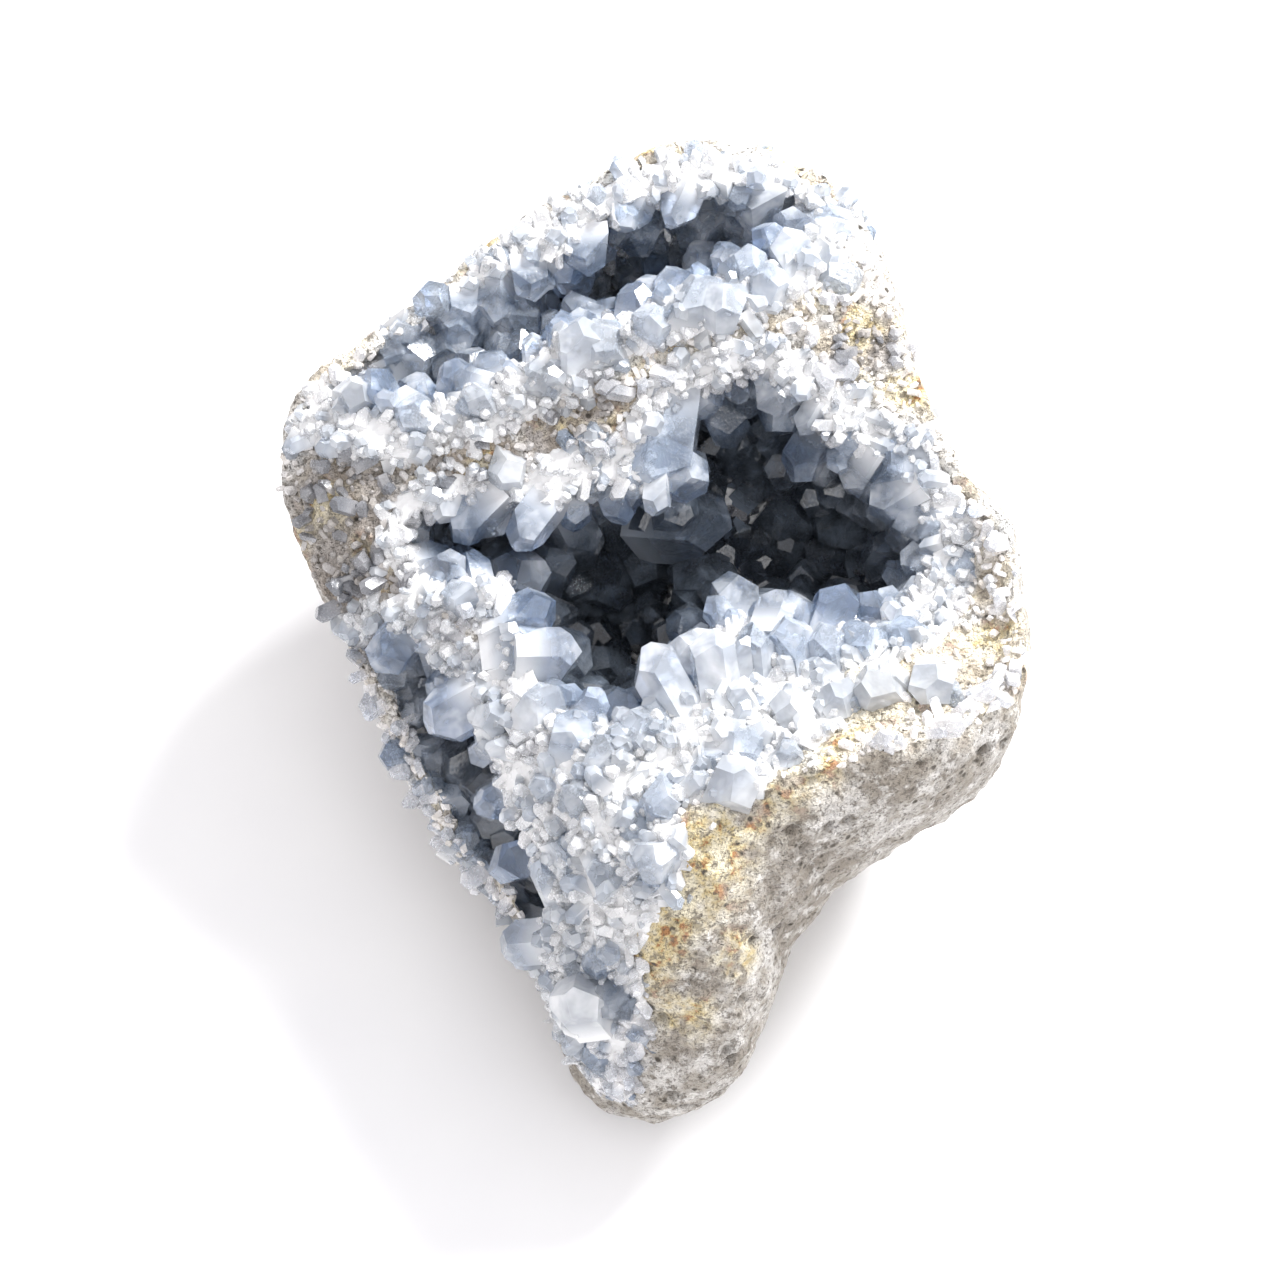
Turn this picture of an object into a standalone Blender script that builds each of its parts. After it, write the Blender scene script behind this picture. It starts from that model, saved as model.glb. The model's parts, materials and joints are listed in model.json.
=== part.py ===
"""Celestite geode, lying on its back with its broken face up.

The geode is described as it is seen when one looks straight at its broken face:
`across` to the right, `up` the face and `out` towards the eye, in millimetres.
lay_down() turns that face frame so that the stone rests on its small flat spot.

Pieces: the stone rind with the wall between its two hollows, the crystal crust of the
main hollow and of the cleft that opens off it, and the crystal crust of the upper hollow.
"""

import math
import random

import bmesh
import bpy
import numpy as np
from mathutils import Matrix, Vector, noise

MM = 0.001

# How far the line of sight onto the broken face stands above level, in degrees.
FACE_TILT = 60.0
# The widest line of the nodule, as (across, up, out) seen from the front, anticlockwise.
OUTLINE = [
    (61, -5, 10), (59, 9, 8), (57, 19, 4), (50, 25, 1), (47, 33, -2), (43, 46, -6),
    (38, 60, -10), (33, 71, -13), (24, 78, -15), (14, 82, -16), (2, 82, -16), (-10, 76, -16),
    (-24, 69, -15), (-37, 58, -13), (-50, 48, -11), (-60, 42, -9), (-64, 31, -7),
    (-62, 17, -7), (-54, 2, -11), (-46, -15, -15), (-38, -30, -15), (-30, -43, -13),
    (-22, -51, -9), (-19, -62, -5), (-16, -71, -3), (-10, -79, 0), (-2, -82, 4), (6, -80, 6),
    (13, -74, 8), (18, -63, 8), (21, -52, 8), (29, -42, 8), (43, -33, 8), (55, -24, 9),
]
# How far the nodule would stand out towards the eye from that line, and back from it.
FRONT_DEPTH, BACK_DEPTH = 48.0, 58.0
# Towards the lobe at the lower end the nodule is thinner.
LOBE_FRONT, LOBE_BACK, LOBE_ANGLE, LOBE_SPREAD = 26.0, 12.0, -93.0, 26.0
# How square the section is: 1 is an ellipse, less is boxier.
SECTION_POWER = 0.82
# Lumps of the stone: height and breadth of the large and the small ones.
LARGE_LUMPS, SMALL_LUMPS = (1.6, 26), (0.8, 9)
# How far the flat spot lies under the middle of the face frame, and how far that middle
# is from the middle of the outline of the whole geode seen from above (along X, along Y).
FLAT_DROP = 52.0
MIDDLE_X, MIDDLE_Y = 1.21, -5.69

# The broken surface, as (across, up, out) knots that a smooth sheet passes through.
BREAK_KNOTS = [
    # far rim of the upper hollow
    (-62, 40, 0), (-50, 50, -4), (-34, 62, -7), (-14, 77, -9), (6, 84, -9), (24, 80, -7),
    (35, 70, -3),
    # right rim
    (42, 50, 4), (48, 33, 9), (54, 20, 14), (58, 6, 20), (56, -6, 25),
    # lower rim of the main hollow
    (46, -8, 31), (32, -13, 35), (14, -19, 38), (-2, -26, 38), (-16, -22, 33),
    # wall between the two hollows
    (-52, 34, 8), (-34, 36, 12), (-14, 42, 15), (6, 50, 15), (24, 58, 11), (36, 56, 6),
    (-34, 26, 10), (-12, 30, 12), (6, 42, 12), (30, 46, 9),
    # left wall, down to the cleft
    (-58, 14, 3), (-44, 8, 9), (-32, -2, 14), (-24, -12, 22),
    # rim of the cleft
    (-60, -2, -6), (-52, -14, -9), (-43, -28, -9), (-34, -42, -7), (-26, -52, -3),
    # broken left side of the lobe
    (-22, -62, 2), (-20, -74, 3), (-14, -34, 33), (-9, -48, 36), (-11, -62, 30), (-9, -76, 26),
    # in front of the unbroken rind, clear of it
    (58, -22, 52), (40, -30, 58), (22, -38, 60), (8, -56, 58), (8, -80, 56), (66, 4, 40),
]
# How far apart the facets of the broken surface lie, and how far they are thrown about.
BREAK_STEP, BREAK_THROW, BREAK_GRAIN = 8.0, 0.9, 5.3
# Half the width and height of the block that cuts the face, and how far out it reaches.
CUTTER_WIDTH, CUTTER_HEIGHT, CUTTER_FRONT = 80, 96, 110
# The lowest and highest that the sheet may run outside its knots.
CUTTER_LOW, CUTTER_HIGH = -40, 80

# Hollows as lumps: centre (across, up, out), half sizes, turn in the face plane in degrees,
# and the thickness of the massive crystal layer round it.
MAIN_LUMPS = [
    ((24, 15, 10), (22, 17, 34), 0, 7),
    ((14, 29, 8), (15, 14, 26), 0, 5),
    ((-7, 4, 10), (17, 21, 34), 0, 7),
    ((-28, 15, 6), (15, 8, 16), -5, 4),
    ((6, 12, 2), (13, 14, 13), 0, 7),
]
CLEFT_LUMPS = [
    ((-38, -17, 0), (10, 20, 7), 28, 5),
    ((-27, -40, 2), (9, 14, 6), 20, 6),
]
UPPER_LUMPS = [
    ((-31, 49, 2), (25, 9, 10), 23, 8),
    ((5, 65, -6), (21, 9, 11), 12, 7),
    ((-6, 59, -6), (18, 8, 23), 18, 6),
]
# Crystal masses without a hollow: centre, half sizes, turn.
MASSIVE_LUMPS = [
    ((-9, -30, 12), (15, 22, 24), 0, 0),
    ((-11, -60, 8), (9, 19, 14), 0, 0),
    ((11, -14, 22), (21, 12, 20), 26, 0),
]
# The hollows reach this far out of the broken surface, and their walls waver by this share.
MOUTH_REACH, WALL_WOBBLE = 60.0, 0.08
# How finely the stone, the crusts and the lumps are faceted, and the share of facets kept
# where the stone is flattest. Lumps smaller than a size are one level coarser.
NODULE_LEVEL, CRUST_LEVEL, LUMP_LEVEL, KEPT_SHARE, SMALL_LUMP = 5, 4, 3, 0.45, 17
# The gap that parts a crust from the stone, how thick the stone is outside a crust, and how
# far the bounds of the crusts stand in front of the nodule.
GAP, LEAST_RIND, BOUNDS_REACH = 0.5, 2.5, 30

# Crystal form of celestite: angles of its faces from the length and breadth of a crystal.
PRISM_ANGLE, WEDGE_ANGLE, DOME_ANGLE = 52.1, 38.0, 50.6
# Large crystals: root (across, up, lift over the open surface), tip from the root, width.
MAIN_CRYSTALS = [
    # hanging from the wall between the hollows
    ((2, 40, -5), (-2.5, -18.5, 2), 10), ((9, 42, -6), (4, -12, 1), 8),
    ((19, 43, -6), (1, -8, 3), 7), ((26, 42, -6), (1, -9, 2), 7),
    ((32, 38, -5), (-1, -10, 3), 7), ((38, 33, -5), (-5, -8, 3), 7),
    ((-12, 28, -5), (1, -7, 3), 7), ((-18, 26, -5), (-1, -6, 3), 6),
    ((-5, 29, -5), (1, -9, 3), 7), ((-33, 26, -4), (2, -6, 2), 5),
    # right wall
    ((47, 31, -6), (-13, -6, 2), 12), ((47, 20, -6), (-9, -3, 3), 8),
    ((50, 3, -7), (-16, -2, 3), 10), ((48, 11, -6), (-9, 1, 3), 7),
    # lower rim
    ((43, -4, -6), (-8, 5, 3), 8), ((35, -6, -6), (-5, 8, 3), 7), ((28, -7, -5), (-2, 9, 3), 7),
    ((22, -7, -5), (-2, 10, 3), 8), ((16, -8, -5), (-1, 10, 4), 7), ((10, -12, -4), (-2, 13, 3), 8),
    ((4, -14, -4), (-7, 12, 3), 9), ((-1, -19, -4), (-5, 6, 4), 7), ((-8, -23, -4), (-2, 7, 5), 9),
    ((-15, -20, -4), (2, 8, 4), 8), ((-20, -15, -3), (4, 6, 6), 8), ((-26, -16, -3), (-2, 4, 6), 7),
    # left wall
    ((-27, 7, -3), (9, 4, 4), 9), ((-25, 21, -4), (1, -7, 2), 6), ((-25, -4, -3), (9, 2, 4), 8),
    ((-25, 1, -3), (8, 4, 3), 7), ((-41, 19, -4), (5, -3, 3), 5), ((-38, 9, -3), (6, 4, 3), 5),
    # deep in the hollow
    ((0, 19, 2), (13, -1, 7), 11), ((-10, 8, -1), (0, 4, 14), 12), ((-2, 11, -1), (1, 3, 12), 10),
    ((7, 7, -1), (0, 1, 11), 11), ((-9, -7, -1), (0, -2, 9), 10), ((15, 13, -1), (1, 2, 9), 9),
    ((22, 20, -1), (1, 0, 10), 10), ((29, 11, -1), (0, 2, 10), 10), ((34, 18, -1), (-3, 0, 10), 9),
    ((20, 3, -1), (0, 3, 10), 9), ((14, 31, -1), (0, -2, 10), 9),
]
CLEFT_CRYSTALS = [
    ((-22, -46, -2), (0, 9, 6), 10), ((-16, -43, -3), (-3, 7, 5), 7), ((-36, -14, -1), (2, 5, 6), 6),
    ((-21, -52, -2), (-1, 5, 6), 6), ((-30, -30, -1), (1, 4, 7), 7), ((-27, -24, -3), (-6, 2, 4), 7),
    ((-23, -34, -3), (-6, 3, 4), 7), ((-42, -22, -2), (4, 3, 6), 6),
]
UPPER_CRYSTALS = [
    ((-13, 44, -2), (0, 8, 5), 8), ((4, 52, -2), (6, 6, 4), 8), ((8, 74, -4), (-1, -10, 3), 10),
    ((18, 75, -4), (-3, -9, 3), 9), ((-4, 71, -3), (2, -8, 3), 8), ((30, 66, -4), (-8, 2, 4), 8),
    ((-46, 43, -2), (11, 5, 4), 10), ((-24, 43, -2), (1, 8, 4), 7), ((-36, 40, -2), (1, 7, 5), 7),
    ((-33, 57, -3), (1, -7, 3), 7), ((-22, 62, -3), (1, -7, 3), 7), ((-13, 67, -3), (1, -8, 3), 7),
    ((-43, 52, -3), (1, -6, 3), 6), ((14, 57, -3), (1, 7, 4), 7), ((22, 60, -3), (-2, 7, 4), 7),
]
# Places (across, up) of the crystals that stand on the broken massive crystal.
MAIN_RIM = [
    (44, -9), (37, -11), (29, -12), (22, -14), (15, -18), (8, -20), (2, -26), (-5, -30),
    (-12, -28), (-18, -27), (20, -20), (12, -25), (-1, -36), (-9, -37), (-15, -35),
    (-6, -44), (-13, -44), (-9, -52), (-14, -53), (-7, -60), (-12, -62), (-9, -70),
    (50, 12), (49, 22), (-34, 4), (-29, -7), (-12, 31), (-24, 28),
]
UPPER_RIM = [
    (-50, 37), (-42, 36), (-30, 37), (-19, 40), (-8, 46), (0, 49), (10, 54), (18, 56), (28, 60),
    (25, 74), (-27, 62), (-47, 51),
]
RIM_LENGTHS, RIM_SINK, RIM_LEAN = (6.0, 9.0), 3, 0.7
# Smaller crystals strewn over the open surfaces: least distance apart, least and most
# length, how far they lean, and how many places are tried on each hollow's wall.
STREWN_APART, STREWN_LENGTHS, STREWN_LEAN, STREWN_TRIES = 11.0, (6.5, 11.0), 0.45, 160
SEED = 11


def lay_down(point):
    """A point of the face frame, in millimetres, as a place in the world, in metres."""
    across, up, out = point
    tilt = math.radians(FACE_TILT)
    return Vector((
        across + MIDDLE_X,
        up * math.sin(tilt) - out * math.cos(tilt) + MIDDLE_Y,
        up * math.cos(tilt) + out * math.sin(tilt) + FLAT_DROP,
    )) * MM


def thin_plate(knots):
    """A smooth sheet through (across, up, out) knots, as a function of across and up."""
    knots = np.array(knots, float)
    places, heights = knots[:, :2], knots[:, 2]

    def bend(squared):
        return squared * np.log(squared + 1e-9)

    gaps = ((places[:, None] - places[None]) ** 2).sum(axis=2)
    flat = np.column_stack([np.ones(len(knots)), places])
    system = np.block([[bend(gaps), flat], [flat.T, np.zeros((3, 3))]])
    weights = np.linalg.solve(system, np.concatenate([heights, np.zeros(3)]))

    def height(across, up):
        squared = (places[:, 0] - across) ** 2 + (places[:, 1] - up) ** 2
        return float(weights[:-3] @ bend(squared) + weights[-3:] @ (1, across, up))

    return height


break_height = thin_plate(BREAK_KNOTS)


def girdle(angle):
    """How far the widest line is from the middle at an angle, and how far out it lies."""
    angles = [math.atan2(up, across) for across, up, _ in OUTLINE]
    radii = [math.hypot(across, up) for across, up, _ in OUTLINE]
    turn = 2 * math.pi
    out = np.interp(angle, angles, [knot[2] for knot in OUTLINE], period=turn)
    return float(np.interp(angle, angles, radii, period=turn)), float(out)


def nodule_point(direction, grow, front_reach):
    """Where the nodule's skin lies in a direction from its middle."""
    x, y, z = direction
    flat = math.hypot(x, y)
    angle = math.atan2(y, x)
    off_lobe = (math.degrees(angle) - LOBE_ANGLE + 180) % 360 - 180
    lobe = math.exp(-((off_lobe / LOBE_SPREAD) ** 2)) * flat * flat
    pole, thin = (FRONT_DEPTH, LOBE_FRONT) if z > 0 else (BACK_DEPTH, LOBE_BACK)
    depth = pole + grow + (thin - pole) * lobe + (front_reach if z > 0 else 0)
    radius, lean = girdle(angle)
    reach = (radius + grow) * flat**SECTION_POWER / max(flat, 1e-6)
    out = lean * flat * flat + math.copysign(abs(z) ** SECTION_POWER, z) * depth
    point = Vector((reach * x, reach * y, out))
    return point + direction * lumpiness(point)


def lumpiness(place):
    """Lumps of the stone, in millimetres, at a place given in millimetres."""
    large = LARGE_LUMPS[0] * noise.noise(place / LARGE_LUMPS[1] + Vector((3.7, 0, 0)))
    return large + SMALL_LUMPS[0] * noise.noise(place / SMALL_LUMPS[1] + Vector((0, 3.7, 0)))


def lump_point(lump, direction, grow):
    """Where a hollow's lump has its wall, in a direction from its centre."""
    centre, sizes, turn, _ = lump
    wobble = 1 + WALL_WOBBLE * noise.noise(Vector(direction) * 1.9 + Vector(centre) / 11)
    local = Vector([way * (size * wobble + grow) for way, size in zip(direction, sizes)])
    if direction[2] > 0:
        local.z = direction[2] * MOUTH_REACH
    local.rotate(Matrix.Rotation(math.radians(turn), 3, "Z"))
    return Vector(centre) + local


def add_object(name, bm, material=None):
    """Make an object of a mesh; one without a material is a hidden shaping aid."""
    mesh = bpy.data.meshes.new(name)
    bm.to_mesh(mesh)
    bm.free()
    obj = bpy.data.objects.new(name, mesh)
    bpy.context.scene.collection.objects.link(obj)
    if material:
        mesh.materials.append(material)
    else:
        obj.hide_render = True
        obj.display_type = "WIRE"
    return obj


def ball(name, level, place, spin=0.0, material=None):
    """A closed ball of triangles whose corners go where place(direction) says."""
    turn = Matrix.Rotation(spin, 3, Vector((1, 2, 3)))
    bm = bmesh.new()
    bmesh.ops.create_icosphere(bm, subdivisions=level, radius=1)
    for vert in bm.verts:
        vert.co = lay_down(place(turn @ vert.co))
    return add_object(name, bm, material)


def nodule(name, level, grow=0.0, front_reach=0.0, material=None):
    return ball(name, level, lambda d: nodule_point(d, grow, front_reach), 0.4, material)


def keep_evaluated(obj):
    """Make an object's evaluated mesh its own mesh, without modifiers."""
    graph = bpy.context.evaluated_depsgraph_get()
    mesh = bpy.data.meshes.new_from_object(obj.evaluated_get(graph))
    obj.modifiers.clear()
    obj.data = mesh


def thin_out(obj, share):
    """Merge facets where a body is flattest until only a share of them is left."""
    obj.modifiers.new("thin_out", "DECIMATE").ratio = share
    keep_evaluated(obj)


def lump_ball(name, lump, grow):
    centre, sizes, _, _ = lump
    spin = 0.37 * (centre[0] + centre[1])
    level = LUMP_LEVEL if max(sizes) > SMALL_LUMP else LUMP_LEVEL - 1
    return ball(name, level, lambda d: lump_point(lump, d, grow), spin)


def front_cutter():
    """The space in front of the broken surface, as one faceted block."""
    step = BREAK_STEP
    columns = int(2 * CUTTER_WIDTH / step)
    rows = int(2 * CUTTER_HEIGHT / step)
    bm = bmesh.new()
    grid = []
    for row in range(rows + 1):
        line = []
        for column in range(columns + 1):
            across, up = column * step - CUTTER_WIDTH, row * step - CUTTER_HEIGHT
            out = max(CUTTER_LOW, min(CUTTER_HIGH, break_height(across, up)))
            out += BREAK_THROW * noise.noise(Vector((across, up, 5)) / BREAK_GRAIN)
            line.append(bm.verts.new(lay_down((across, up, out))))
        grid.append(line)
    for row in range(rows):
        for column in range(columns):
            bm.faces.new((
                grid[row][column], grid[row + 1][column],
                grid[row + 1][column + 1], grid[row][column + 1],
            ))
    edges = [edge for edge in bm.edges if edge.is_boundary]
    top = bmesh.ops.extrude_edge_only(bm, edges=edges)["geom"]
    raised = [item for item in top if isinstance(item, bmesh.types.BMVert)]
    middle = lay_down((0, 0, 0))
    outward = (lay_down((0, 0, 1)) - middle).normalized()
    for vert in raised:
        vert.co += outward * (CUTTER_FRONT * MM - (vert.co - middle).dot(outward))
    bmesh.ops.contextual_create(bm, geom=[e for e in bm.edges if e.is_boundary])
    bmesh.ops.triangulate(bm, faces=bm.faces[:])
    bmesh.ops.recalc_face_normals(bm, faces=bm.faces[:])
    if bm.calc_volume(signed=True) < 0:
        bmesh.ops.reverse_faces(bm, faces=bm.faces[:])
    return add_object("front_cutter", bm)


def floor_cutter():
    bm = bmesh.new()
    bmesh.ops.create_cube(bm, size=0.3)
    bmesh.ops.translate(bm, verts=bm.verts[:], vec=(0, 0, -0.15))
    return add_object("floor_cutter", bm)


def boolean(obj, operation, other, use_self=False):
    """Combine an object's mesh with another's and keep the result as its mesh."""
    modifier = obj.modifiers.new(operation, "BOOLEAN")
    modifier.operation = operation
    modifier.object = other
    modifier.solver = "EXACT"
    modifier.use_self = use_self
    keep_evaluated(obj)


def finish_material(name, colour, roughness):
    material = bpy.data.materials.new(name)
    material.use_nodes = True
    shader = material.node_tree.nodes["Principled BSDF"]
    shader.inputs["Base Color"].default_value = (*colour, 1)
    shader.inputs["Roughness"].default_value = roughness
    shader.inputs["Metallic"].default_value = 0
    return material


def union_of_lumps(name, lumps, grow_by_crust, gap):
    """One hidden body of several lumps, each grown by its crust less a gap."""
    balls = []
    for number, lump in enumerate(lumps):
        grow = (lump[3] if grow_by_crust else 0) - gap
        balls.append(lump_ball(f"{name}_{number}", lump, grow))
    body = balls[0]
    body.name = name
    for other in balls[1:]:
        boolean(body, "UNION", other)
    return body


def hollow_floor(lumps, across, up):
    """How far out the open surface lies at a place of the face: hollow or broken face."""
    out = break_height(across, up)
    for centre, sizes, turn, _ in lumps:
        local = Vector((across - centre[0], up - centre[1]))
        local.rotate(Matrix.Rotation(-math.radians(turn), 2))
        room = 1 - (local.x / sizes[0]) ** 2 - (local.y / sizes[1]) ** 2
        if room > 0:
            out = min(out, centre[2] - sizes[2] * math.sqrt(room))
    return out


def inside(lump, point, margin):
    """Whether a point lies in a lump, deeper than a margin."""
    centre, sizes, turn, _ = lump
    local = Vector(point) - Vector(centre)
    local.rotate(Matrix.Rotation(-math.radians(turn), 3, "Z"))
    depth = MOUTH_REACH if local.z > 0 else sizes[2] - margin
    x, y = sizes[0] - margin, sizes[1] - margin
    return (local.x / x) ** 2 + (local.y / y) ** 2 + (local.z / depth) ** 2 < 1


def add_crystal(bm, base, tip, width, rng, sink=0.3):
    """One celestite crystal from a base to a tip, as a closed body of flat faces."""
    base, tip = Vector(base), Vector(tip)
    axis = tip - base
    length = axis.length
    base = base - axis * sink
    length *= 1 + sink
    axis.normalize()
    frame = axis.to_track_quat("Z", "Y").to_matrix()
    frame.rotate(Matrix.Rotation(rng.uniform(0, math.pi), 3, axis))
    box = bmesh.ops.create_cube(bm, size=2)["verts"]
    for vert in box:
        vert.co = Vector((vert.co.x * width, vert.co.y * width, (vert.co.z + 1) * length))
    pieces = set(box)
    sides = math.radians(PRISM_ANGLE)
    planes = []
    for x, y in ((1, 1), (1, -1), (-1, 1), (-1, -1)):
        normal = Vector((x * math.sin(sides), y * math.cos(sides), 0))
        planes.append((normal * width * rng.uniform(0.40, 0.52), normal))
    for y in (1, -1):
        planes.append((Vector((0, y * width * rng.uniform(0.4, 1.0), 0)), Vector((0, y, 0))))
    wedge, dome = math.radians(WEDGE_ANGLE), math.radians(DOME_ANGLE)
    for x in (1, -1):
        normal = Vector((x * math.sin(wedge), 0, math.cos(wedge)))
        planes.append((Vector((0, 0, length * rng.uniform(0.93, 1.0))), normal))
    for y in (1, -1):
        normal = Vector((0, y * math.sin(dome), math.cos(dome)))
        planes.append((Vector((0, 0, length * rng.uniform(0.96, 1.12))), normal))
    for place, normal in planes:
        faces = {face for vert in pieces for face in vert.link_faces}
        edges = {edge for vert in pieces for edge in vert.link_edges}
        cut = bmesh.ops.bisect_plane(
            bm, geom=list(pieces) + list(edges) + list(faces), dist=1e-5,
            plane_co=place, plane_no=normal, clear_outer=True,
        )
        kept = {item for item in cut["geom"] if item.is_valid}
        rim = {item for item in cut["geom_cut"] if item.is_valid}
        pieces = {item for item in kept | rim if isinstance(item, bmesh.types.BMVert)}
        loose = [item for item in rim if isinstance(item, bmesh.types.BMEdge)]
        if loose:
            bmesh.ops.contextual_create(bm, geom=loose)
    for vert in pieces:
        vert.co = lay_down(base + frame @ vert.co)


def rooted(lumps, root):
    """The place of a crystal's root that is given by its lift over the open surface."""
    across, up, lift = root
    return Vector((across, up, hollow_floor(lumps, across, up) + lift))


def strewn_places(lumps, rng):
    """Places and inward directions spread over the walls of the hollows."""
    places = []
    for lump in lumps:
        centre, sizes, turn, _ = lump
        spin = Matrix.Rotation(math.radians(turn), 3, "Z")
        for number in range(STREWN_TRIES):
            z = -1 + 1.5 * (number + 0.5) / STREWN_TRIES
            angle = number * math.pi * (3 - math.sqrt(5)) + rng.uniform(-0.2, 0.2)
            ring = math.sqrt(1 - z * z)
            direction = Vector((ring * math.cos(angle), ring * math.sin(angle), z))
            depth = MOUTH_REACH if z > 0 else sizes[2]
            local = Vector((direction.x * sizes[0], direction.y * sizes[1], direction.z * depth))
            inward = -Vector((local.x / sizes[0] ** 2, local.y / sizes[1] ** 2, local.z / depth**2))
            point = Vector(centre) + spin @ local
            inward = (spin @ inward).normalized()
            if point.z > break_height(point.x, point.y) - 2:
                continue
            if any(inside(other, point, 0.5) for other in lumps if other is not lump):
                continue
            if all((point - place).length > STREWN_APART for place, _ in places):
                places.append((point, inward))
    return places


def grown_crystals(name, lumps, large, rim, rng):
    """The crystals of one crust, still separate bodies, as a hidden object."""
    bm = bmesh.new()
    roots = []
    for across, up in rim:
        root = Vector((across, up, break_height(across, up) - RIM_SINK))
        lean = [rng.uniform(-RIM_LEAN, RIM_LEAN) for _ in range(2)]
        axis = Vector((*lean, 1)).normalized()
        length = rng.uniform(*RIM_LENGTHS)
        add_crystal(bm, root, root + axis * length, length * rng.uniform(0.7, 1.0), rng)
    for root, reach, width in large:
        place = rooted(lumps, root)
        add_crystal(bm, place, place + Vector(reach), width, rng)
        roots.append(place + Vector(reach) * 0.3)
    for place, inward in strewn_places(lumps, rng):
        if any((place - other).length < STREWN_APART for other in roots):
            continue
        tilt = Vector([rng.uniform(-1, 1) for _ in range(3)]) * STREWN_LEAN
        axis = (inward + tilt + Vector((0, 0, 0.25))).normalized()
        length = rng.uniform(*STREWN_LENGTHS)
        add_crystal(bm, place, place + axis * length, length * rng.uniform(0.6, 0.8), rng)
    return add_object(f"{name}_crystals", bm)


def drop_crumbs(obj):
    """Keep only the largest body of a mesh, without the crumbs that a cut parted from it."""
    bm = bmesh.new()
    bm.from_mesh(obj.data)
    left = set(bm.faces)
    bodies = []
    while left:
        front = [left.pop()]
        body = set(front)
        while front:
            edges = front.pop().edges
            near = {face for edge in edges for face in edge.link_faces} & left
            left -= near
            body |= near
            front.extend(near)
        bodies.append(body)
    bodies.sort(key=len)
    crumbs = [face for body in bodies[:-1] for face in body]
    bmesh.ops.delete(bm, geom=crumbs, context="FACES")
    bm.to_mesh(obj.data)
    bm.free()


def crust(name, lumps, massive, crystals, material):
    """Massive crystal between the stone and a hollow, with the crystals grown on it."""
    body = nodule(name, CRUST_LEVEL, material=material)
    boolean(body, "DIFFERENCE", bpy.data.objects["front_cutter"])
    boolean(body, "DIFFERENCE", union_of_lumps(f"{name}_hollow", lumps, False, 0))
    boolean(body, "UNION", crystals, use_self=True)
    envelope = union_of_lumps(f"{name}_envelope", lumps + massive, True, GAP)
    boolean(envelope, "INTERSECT", bpy.data.objects["crust_bounds"])
    boolean(body, "INTERSECT", envelope)
    drop_crumbs(body)


def main():
    for obj in list(bpy.data.objects):
        bpy.data.objects.remove(obj)
    stone = finish_material("limestone", (0.72, 0.70, 0.64), 0.9)
    celestite = finish_material("celestite", (0.74, 0.83, 0.90), 0.2)
    rng = random.Random(SEED)

    front = front_cutter()
    stone_bounds = nodule("stone_bounds", CRUST_LEVEL, -LEAST_RIND, BOUNDS_REACH)
    nodule("crust_bounds", CRUST_LEVEL, -LEAST_RIND - GAP, BOUNDS_REACH)
    rind = nodule("rind", NODULE_LEVEL, material=stone)
    thin_out(rind, KEPT_SHARE)
    boolean(rind, "DIFFERENCE", front)
    boolean(rind, "DIFFERENCE", floor_cutter())
    low_lumps = MAIN_LUMPS + CLEFT_LUMPS
    for side, lumps in (("main", low_lumps + MASSIVE_LUMPS), ("upper", UPPER_LUMPS)):
        bed = union_of_lumps(f"{side}_bed", lumps, True, 0)
        boolean(bed, "INTERSECT", stone_bounds)
        boolean(rind, "DIFFERENCE", bed)
    low = grown_crystals("main", low_lumps, MAIN_CRYSTALS + CLEFT_CRYSTALS, MAIN_RIM, rng)
    crust("main_crust", low_lumps, MASSIVE_LUMPS, low, celestite)
    high = grown_crystals("upper", UPPER_LUMPS, UPPER_CRYSTALS, UPPER_RIM, rng)
    crust("upper_crust", UPPER_LUMPS, [], high, celestite)


main()
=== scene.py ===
import json
import math
import random

import bmesh
import bpy
import numpy as np
from mathutils import Matrix, Vector, noise
from mathutils.bvhtree import BVHTree

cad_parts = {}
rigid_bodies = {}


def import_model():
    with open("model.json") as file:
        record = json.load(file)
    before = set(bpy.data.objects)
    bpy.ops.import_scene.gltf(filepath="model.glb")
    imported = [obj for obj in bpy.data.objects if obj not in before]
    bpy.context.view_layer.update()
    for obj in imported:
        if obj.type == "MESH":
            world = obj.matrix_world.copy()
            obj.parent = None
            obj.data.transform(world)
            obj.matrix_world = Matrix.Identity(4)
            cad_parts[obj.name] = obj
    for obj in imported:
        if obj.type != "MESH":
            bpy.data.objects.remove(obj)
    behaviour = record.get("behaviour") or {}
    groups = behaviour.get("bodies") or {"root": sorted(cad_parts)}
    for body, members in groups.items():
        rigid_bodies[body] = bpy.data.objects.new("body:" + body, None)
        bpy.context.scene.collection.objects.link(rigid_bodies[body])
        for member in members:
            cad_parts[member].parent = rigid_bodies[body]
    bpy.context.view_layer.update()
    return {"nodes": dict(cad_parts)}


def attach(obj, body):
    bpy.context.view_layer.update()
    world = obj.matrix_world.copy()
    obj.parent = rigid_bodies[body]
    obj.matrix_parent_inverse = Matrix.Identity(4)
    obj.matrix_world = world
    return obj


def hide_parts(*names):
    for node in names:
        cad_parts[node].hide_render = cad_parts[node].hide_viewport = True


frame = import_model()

scene = bpy.context.scene
mm = 0.001
noise.seed_set(4)  # without it, noise_vector differs from run to run

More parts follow.
